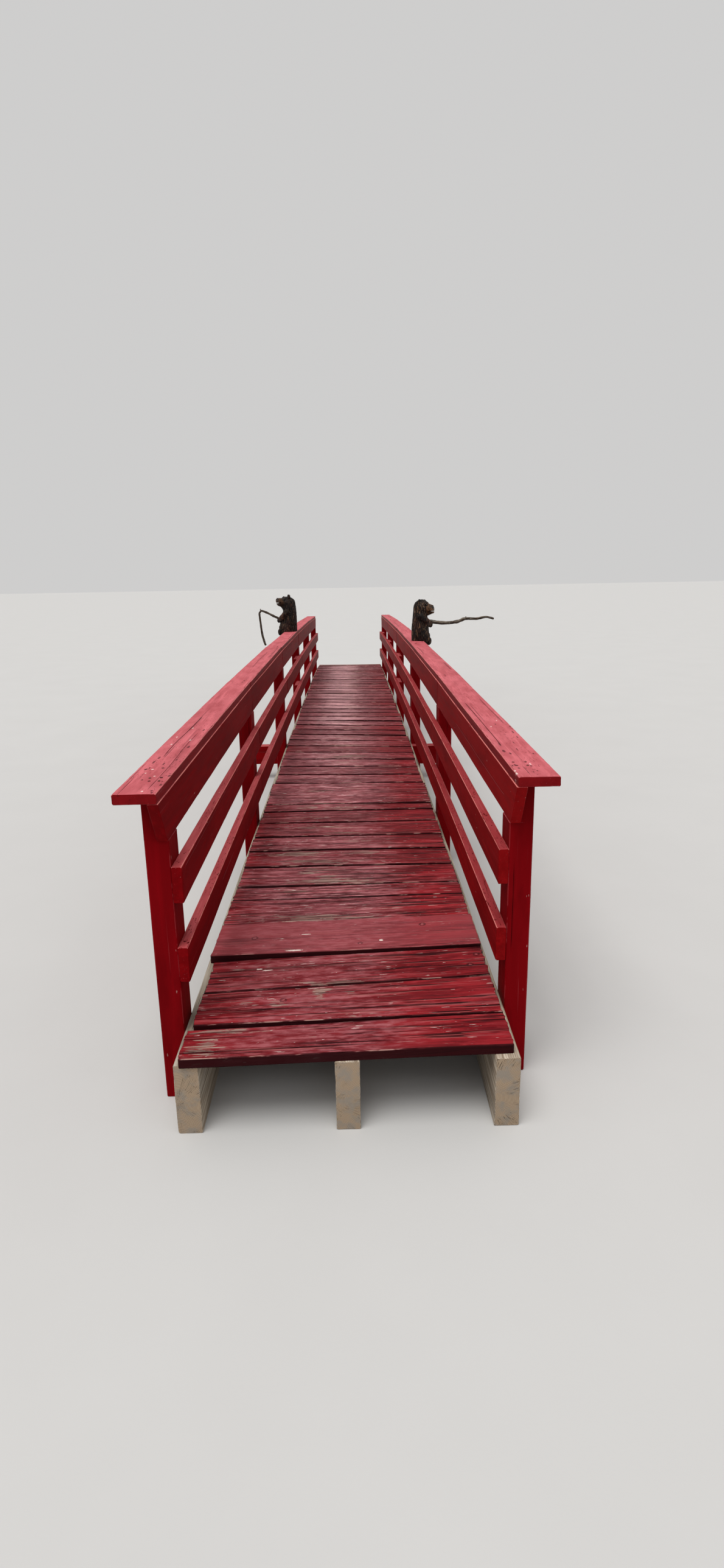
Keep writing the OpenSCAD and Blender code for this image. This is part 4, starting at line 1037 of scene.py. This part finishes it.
def bear_piece(side, s, node, B):
    x0, y0, h, r = B["x"], B["y"], B["h"], B["r"]
    e = CAP_IN + CAP_W + 0.0022 - x0
    drop = 0.044
    vox = 0.0037
    lo = np.array([-r - 0.012, -r - 0.020, -drop - 0.008]); hi = np.array([r + 0.026, r + 0.020, h + 0.010])
    n = np.ceil((hi - lo) / vox).astype(int) + 1
    ax = [lo[k] + vox * np.arange(n[k]) for k in range(3)]
    p = np.stack(np.meshgrid(*ax, indexing="ij"), -1)
    d = bear_field(p, B)
    # sawn underside, and the notch that sits over the cap
    z = p[..., 2]; f = p[..., 0]
    d = np.maximum(d, -(z + drop))
    d = np.maximum(d, np.minimum(-(z - 0.0012), -(f - e)))
    d = np.maximum(d, np.abs(p[..., 1]) - r - 0.010)
    d = np.maximum(d, -(f + r)); d = np.maximum(d, z - h)
    V, F = nets(d, lo, vox)
    cs, sn = math.cos(B["turn"]), math.sin(B["turn"])
    hx, tip, zm = B["hx"], B["tip"], B["muzzle"]
    x = (V[:, 0] - hx) * cs + V[:, 1] * sn
    fur, face = fur_field(V[:, 0], V[:, 1], V[:, 2], x, B)
    nv = vn3(np.stack([V[:, 0] * 74, V[:, 1] * 74, V[:, 2] * 19], -1) + B["seed"], B["seed"])
    cutv = np.clip(1 - np.abs(nv) * 3.2, 0, 1)
    muzz = np.clip((x - tip + 0.062) / 0.018, 0, 1) * np.clip((V[:, 2] - zm[1] + 0.055) / 0.02, 0, 1)
    chest = np.exp(-((V[:, 2] - 0.20) / 0.055) ** 2) * np.clip((V[:, 0] - 0.015) / 0.04, 0, 1)
    me = bpy.data.meshes.new("carved_bear_" + side)
    zc = chord(s, seg(s, y0), y0) + CAP_H + 0.001
    W = np.stack([s * (x0 + V[:, 0]), y0 + s * V[:, 1], zc + V[:, 2]], -1)
    me.from_pydata(W.tolist(), [], F.tolist())
    me.validate()
    for nm, dat in (("pl", V + B["seed"]), ("pw", np.stack([cutv, muzz, V[:, 2] / h], -1)), ("px", np.stack([face, chest, V[:, 0] / r], -1))):
        at = me.attributes.new(nm, "FLOAT_VECTOR", "POINT")
        at.data.foreach_set("vector", dat.astype(np.float32).ravel())
    me.polygons.foreach_set("use_smooth", np.ones(len(me.polygons), bool))
    bm = bmesh.new(); bm.from_mesh(me)
    bmesh.ops.recalc_face_normals(bm, faces=bm.faces)
    bm.to_mesh(me); bm.free()
    me.set_sharp_from_angle(angle=math.radians(55))
    o = bpy.data.objects.new("carved_bear_" + side, me)
    scene_link(o)
    me.materials.append(bear_material("carved_log_" + side, B["tan"], B["rust"]))
    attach(o, "root"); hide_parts(node)
    # nose and eyes, turned with the head
    hp = lambda x, y, zc2: Vector((s * (x0 + hx + x * cs - y * sn), y0 + s * (x * sn + y * cs), zc + zc2))
    bm = bmesh.new()
    for c, rad in ((hp(tip - 0.003, 0, zm[1] + 0.020), (0.011, 0.019, 0.013)),
                   (hp(0.076, 0.039, zm[0] + B["mr"][0] * 0.52), (0.0075, 0.0075, 0.0075)),
                   (hp(0.076, -0.039, zm[0] + B["mr"][0] * 0.52), (0.0075, 0.0075, 0.0075))):
        m = Matrix.Translation(c) @ Matrix.Rotation((0 if s > 0 else math.pi) + B["turn"], 4, "Z") @ Matrix.Diagonal((*rad, 1))
        got = bmesh.ops.create_icosphere(bm, subdivisions=3, radius=1, matrix=m)
        for v in got["verts"]:
            k = v.co - c
            v.co += 0.06 * rad[0] * mn.noise(v.co * 160) * k.normalized()
    em = bpy.data.meshes.new("bear_nose_eyes_" + side)
    bm.to_mesh(em); bm.free()
    em.polygons.foreach_set("use_smooth", np.ones(len(em.polygons), bool))
    eo = bpy.data.objects.new("bear_nose_eyes_" + side, em)
    scene_link(eo)
    em.materials.append(NOSEM)
    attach(eo, "root")
    return zc


def scene_link(o):
    bpy.context.scene.collection.objects.link(o)


def smooth_path(P, m):
    P = np.array(P, float)
    t = np.linspace(0, len(P) - 1, m)
    out = []
    for u in t:
        i = min(int(u), len(P) - 2); f = u - i
        p0, p1, p2, p3 = P[max(i - 1, 0)], P[i], P[i + 1], P[min(i + 2, len(P) - 1)]
        out.append(0.5 * ((2 * p1) + (-p0 + p2) * f + (2 * p0 - 5 * p1 + 4 * p2 - p3) * f * f + (-p0 + 3 * p1 - 3 * p2 + p3) * f ** 3))
    return np.array(out)


def twig(pc, path, r0, r1, seed, m=90, k=14, knots=()):
    """a barked branch along a path in metres"""
    C_ = smooth_path(path, m)
    T = np.gradient(C_, axis=0); T /= np.linalg.norm(T, axis=1)[:, None]
    N = np.zeros_like(T); N[0] = np.cross(T[0], [0, 1, 0.1]); N[0] /= np.linalg.norm(N[0])
    for i in range(1, m):
        v = N[i - 1] - T[i] * (N[i - 1] @ T[i]); N[i] = v / np.linalg.norm(v)
    B = np.cross(T, N)
    s = np.r_[0, np.cumsum(np.linalg.norm(np.diff(C_, axis=0), axis=1))]
    rad = np.interp(s, [0, s[-1]], [r0, r1])
    for (u, amp) in knots:
        rad = rad * (1 + amp * np.exp(-((s - u * s[-1]) / (1.3 * r0)) ** 2))
    th = np.arange(k) / k * 2 * math.pi
    R = rad[:, None] * (1 + 0.10 * vn2(s[:, None] * 55 + seed, th[None] * 2.2 + 11, seed) + 0.07 * vn2(s[:, None] * 18, th[None] * 5.1, seed + 1))
    R[0] *= 0.55; R[-1] *= 0.45
    V = C_[:, None] + R[..., None] * (np.cos(th)[None, :, None] * N[:, None] + np.sin(th)[None, :, None] * B[:, None])
    V = V.reshape(-1, 3)
    idx = np.arange(m * k).reshape(m, k)
    F = np.stack([idx[:-1], idx[1:], np.roll(idx[1:], -1, 1), np.roll(idx[:-1], -1, 1)], -1).reshape(-1, 4)
    V = np.concatenate([V, C_[:1], C_[-1:]])
    c0, c1 = m * k, m * k + 1
    # ends closed by quads that share a middle point
    e0 = [[c0, idx[0][j], idx[0][(j + 1) % k], idx[0][(j + 2) % k]] for j in range(0, k, 2)]
    e1 = [[c1, idx[-1][(j + 2) % k], idx[-1][(j + 1) % k], idx[-1][j]] for j in range(0, k, 2)]
    F = np.concatenate([F, e0, e1])
    ss = np.concatenate([np.repeat(s, k), [0, s[-1]]]); tt = np.concatenate([np.tile(th, m), [0, 0]])
    rr = np.concatenate([np.repeat(rad, k), [0, 0]])
    pl = np.stack([ss, np.cos(tt) * rr, np.sin(tt) * rr], -1) + seed
    pc.V.append(V); pc.F.append(F + pc.n); pc.n += len(V)
    pc.PL.append(pl); pc.PW.append(np.zeros((len(V), 3))); pc.X.append(np.zeros((len(V), 3)))


def bear_material(name, tan_k, rust_k):
    """black-brown stain worn back to the wood on the saw ridges"""
    g = NB(name)
    pl, pw, px = g.attr("pl"), g.xyz(g.attr("pw")), g.xyz(g.attr("px"))
    cut, muz = pw[0], pw[1]
    n1 = g.noise(g.scale(pl, (30, 30, 11)), 1.0, 4, 0.6)
    n2 = g.noise(g.scale(pl, (150, 150, 26)), 1.0, 4, 0.65, 0.4)
    n3 = g.noise(g.scale(pl, (13, 13, 8)), 1.0, 3, 0.55)
    n4 = g.noise(g.scale(pl, (95, 95, 20), (4, 4, 4)), 1.0, 3, 0.6, 0.8)
    col = g.mix(g.rng(n2, 0.35, 0.68), (0.0022, 0.0014, 0.0012), (0.0125, 0.0068, 0.0052))
    rust = g.math("ADD", g.math("MULTIPLY", g.rng(n3, 0.50, 0.62), rust_k), g.math("MULTIPLY", px[1], g.rng(n1, 0.38, 0.60, 0.1, 0.8)), clamp=True)
    col = g.mix(rust, col, g.mix(g.rng(n2, 0.35, 0.65), (0.018, 0.0045, 0.0035), (0.075, 0.021, 0.014)))
    # worn ridges beside the saw cuts
    dsh = g.rng(g.noise(g.scale(pl, (120, 120, 17), (1, 2, 3)), 1.0, 2.5, 0.55), 0.535, 0.600)
    lip = g.math("MULTIPLY", dsh, g.rng(n1, 0.40, 0.56))
    lip = g.math("MULTIPLY", lip, g.rng(n2, 0.36, 0.55, 0.25, 1.0))
    col = g.mix(g.math("MULTIPLY", lip, tan_k), col, (0.170, 0.092, 0.050))
    tip = g.math("MULTIPLY", g.rng(n4, 0.60, 0.66), g.rng(g.noise(g.scale(pl, (22, 22, 9), (4, 4, 4)), 1.0, 2, 0.5), 0.48, 0.60))
    col = g.mix(g.math("MULTIPLY", tip, tan_k * 0.9), col, (0.30, 0.205, 0.140))
    col = g.mix(g.math("MULTIPLY", muz, g.rng(n1, 0.35, 0.65, 0.10, 0.50 * tan_k + 0.12)), col, (0.145, 0.068, 0.030))
    col = g.mix(g.rng(cut, 0.55, 0.95, 0.0, 0.85), col, (0.0012, 0.0008, 0.0008))
    h = g.math("ADD", g.math("MULTIPLY", n2, 1.0), g.math("MULTIPLY", g.noise(g.scale(pl, (400, 400, 90)), 1.0, 2, 0.5), 0.35))
    return g.finish(col, g.rng(n2, 0.3, 0.7, 0.40, 0.70), g.bump(h, 0.0024, 0.9), 0.16)


def nose_material():
    g = NB("bear_nose")
    tc = g.n("ShaderNodeTexCoord").outputs["Object"]
    n = g.noise(tc, 220, 3, 0.6)
    return g.finish(g.mix(n, (0.004, 0.0035, 0.0035), (0.016, 0.012, 0.010)), g.rng(n, 0.3, 0.7, 0.22, 0.42), g.bump(n, 0.0006, 0.7), 0.5)


def bark_material():
    g = NB("bark")
    pl = g.attr("pl")
    nz = g.xyz(g.n("ShaderNodeNewGeometry").outputs["Normal"])[2]
    n1 = g.noise(g.scale(pl, (30, 160, 160)), 1.0, 4, 0.65, 0.5)
    n2 = g.noise(g.scale(pl, (9, 60, 60)), 1.0, 3, 0.6)
    col = g.mix(g.rng(n1, 0.35, 0.66), (0.010, 0.0065, 0.005), (0.062, 0.040, 0.027))
    # upward faces paler: a painted highlight for light from above
    up = g.rng(nz, -0.1, 0.75, 0.15, 1.0)
    col = g.mix(g.math("MULTIPLY", g.math("MULTIPLY", g.rng(n2, 0.42, 0.60), up), 0.80), col, (0.29, 0.245, 0.195))
    col = g.mix(g.math("MULTIPLY", g.rng(g.noise(g.scale(pl, (80, 240, 240), (2, 7, 1)), 1.0, 2, 0.5), 0.62, 0.68), 0.75), col, (0.42, 0.37, 0.30))
    return g.finish(col, g.rng(n1, 0.3, 0.7, 0.7, 0.9), g.bump(n1, 0.0020, 1.0), 0.12)


NOSEM, BARKM = nose_material(), bark_material()
BL = dict(x=CAP_IN + 0.117, y=YM + 0.990, h=0.445, r=0.120, turn=0.62, hx=-0.014, seed=11, tan=0.45, rust=0.30,
          z=[-0.05, 0.0, 0.06, 0.12, 0.18, 0.24, 0.30, 0.345, 0.38, 0.41],
          back=[-0.117, -0.117, -0.119, -0.119, -0.119, -0.118, -0.114, -0.100, -0.078, -0.045],
          front=[0.098, 0.098, 0.094, 0.078, 0.074, 0.044, 0.040, 0.045, 0.035, 0.010],
          wide=[0.113, 0.113, 0.116, 0.115, 0.112, 0.102, 0.094, 0.086, 0.066, 0.030],
          skull=(0.0, 0.342, 0.094), sv=0.068, muzzle=(0.342, 0.360), tip=0.138, mr=(0.060, 0.043), slant=-0.10,
          ear=((0.018, -0.058, 0.391), (0.018, 0.060, 0.415)),
          arm=((-0.006, 0.092, 0.232), (0.050, 0.094, 0.172), (0.096, 0.024, 0.136)), leg=0.092)
BR = dict(x=CAP_IN + 0.125, y=YM - 0.820, h=0.408, r=0.110, turn=-0.40, hx=-0.004, seed=23, tan=0.95, rust=0.18,
          z=[-0.05, 0.0, 0.06, 0.12, 0.19, 0.24, 0.30, 0.34, 0.375, 0.395],
          back=[-0.096, -0.096, -0.094, -0.091, -0.086, -0.082, -0.075, -0.064, -0.046, -0.020],
          front=[0.088, 0.088, 0.084, 0.078, 0.084, 0.064, 0.045, 0.045, 0.035, 0.012],
          wide=[0.103, 0.103, 0.105, 0.104, 0.102, 0.096, 0.088, 0.080, 0.060, 0.035],
          skull=(0.012, 0.328, 0.078), sv=0.074, muzzle=(0.322, 0.304), tip=0.134, mr=(0.056, 0.037), slant=0.10,
          ear=((0.006, -0.054, 0.378), (0.024, 0.056, 0.372)),
          arm=((-0.004, 0.084, 0.236), (0.052, 0.084, 0.190), (0.092, 0.022, 0.158)), leg=0.082)
# the heads turn a little towards the near end of the bridge
zl = bear_piece("left", -1, "bear_left", BL)
zr = bear_piece("right", 1, "bear_right", BR)


def pole(name, node, s, b, zc, pts, r0, r1, seed, knots, twigs=()):
    pc = Piece(name)
    w = lambda q: [(s * (b["x"] + f), b["y"] + t, zc + z) for f, t, z in q]
    twig(pc, w(pts), r0, r1, seed, knots=knots)
    for q, a, c in twigs:
        twig(pc, w(q), a, c, seed + 5, m=32, k=12)
    pc.build(BARKM, node, sharp=60)


pole("branch_left", "pole_left", -1, BL, zl,
     [(0.092, 0, 0.150), (0.118, 0, 0.165), (0.160, 0.003, 0.185), (0.234, 0.004, 0.224), (0.300, 0.002, 0.251), (0.322, 0, 0.255)], 0.0135, 0.0115, 5,
     ((0.35, 0.16), (0.7, 0.22)),
     [([(0.314, 0, 0.250), (0.332, 0.001, 0.232), (0.336, 0, 0.205), (0.329, -0.002, 0.130), (0.324, 0.002, 0.059), (0.312, 0.001, -0.037), (0.295, 0, -0.110), (0.277, -0.001, -0.168)], 0.0118, 0.0135),
      ([(0.318, 0, 0.250), (0.322, 0, 0.263), (0.319, 0, 0.276)], 0.0080, 0.0045)])
pole("branch_right", "pole_right", 1, BR, zr,
     [(0.086, 0, 0.186), (0.120, 0, 0.182), (0.175, 0.003, 0.174), (0.272, 0.003, 0.169), (0.372, 0, 0.180), (0.444, -0.003, 0.207), (0.558, 0, 0.205), (0.657, 0.003, 0.220), (0.737, 0, 0.201)], 0.0185, 0.0100, 9,
     ((0.18, 0.12), (0.42, 0.20), (0.52, 0.16), (0.80, 0.18)),
     [([(0.44, 0, 0.205), (0.452, 0.002, 0.219), (0.456, 0.003, 0.228)], 0.0085, 0.0045)])

# ---------------------------------------------------------------- camera
scene = bpy.context.scene
F_PX, PITCH_A, YAW, ROLL = 1293.09, 0.2566, 0.0100, -0.0180
C = Vector((0.0455, Y0 - 2.4513, TOP0 + 1.6231))
fwd = Vector((math.sin(YAW) * math.cos(PITCH_A), math.cos(YAW) * math.cos(PITCH_A), -math.sin(PITCH_A)))
right = Vector((math.cos(YAW), -math.sin(YAW), 0))
upv = right.cross(fwd)
r2 = math.cos(ROLL) * right + math.sin(ROLL) * upv
u2 = -math.sin(ROLL) * right + math.cos(ROLL) * upv
cd = bpy.data.cameras.new("camera")
cam = bpy.data.objects.new("camera", cd)
scene.collection.objects.link(cam)
M = Matrix((r2, u2, -fwd)).transposed().to_4x4()
M.translation = C
cam.matrix_world = M
cd.sensor_fit = "VERTICAL"
cd.sensor_width = cd.sensor_height = 36
cd.lens = 36 * F_PX / 2576
cd.clip_start, cd.clip_end = 0.05, 500
scene.camera = cam

# ---------------------------------------------------------------- floor, light
me = bpy.data.meshes.new("floor")
R = 160
me.from_pydata([(-R, -R, 0), (R, -R, 0), (R, R, 0), (-R, R, 0)], [], [(0, 1, 2, 3)])
floor = bpy.data.objects.new("floor", me)
scene.collection.objects.link(floor)
g = NB("floor_paper")
tc = g.n("ShaderNodeTexCoord").outputs["Object"]
fl = g.noise(tc, 1.3, 4, 0.6)
me.materials.append(g.finish(g.mix(fl, (0.530, 0.526, 0.520), (0.565, 0.561, 0.555)), g.rng(fl, 0, 1, 0.85, 0.95), g.bump(g.noise(tc, 60, 3, 0.5), 0.001, 0.2), 0.1))

w = bpy.data.worlds.new("studio")
scene.world = w
w.use_nodes = True
wt = w.node_tree
wt.nodes.clear()
bg = wt.nodes.new("ShaderNodeBackground")
bg.inputs[0].default_value = (1.0, 0.992, 0.985, 1)
bg.inputs[1].default_value = 0.62
wo = wt.nodes.new("ShaderNodeOutputWorld")
wt.links.new(bg.outputs[0], wo.inputs[0])


def sun(name, frm, strength, angle, color):
    d = bpy.data.lights.new(name, "SUN")
    d.energy, d.angle, d.color = strength, math.radians(angle), color
    o = bpy.data.objects.new(name, d)
    o.rotation_euler = Vector(frm).to_track_quat("Z", "Y").to_euler()
    scene.collection.objects.link(o)
    return o


sun("key", (-0.26, -0.42, 1.20), 2.1, 40, (1.0, 0.985, 0.96))
sun("fill", (0.6, -0.8, 0.7), 0.15, 60, (1.0, 0.99, 0.98))

scene.view_settings.view_transform = "Standard"
scene.view_settings.look = "None"
scene.view_settings.exposure = 0.0
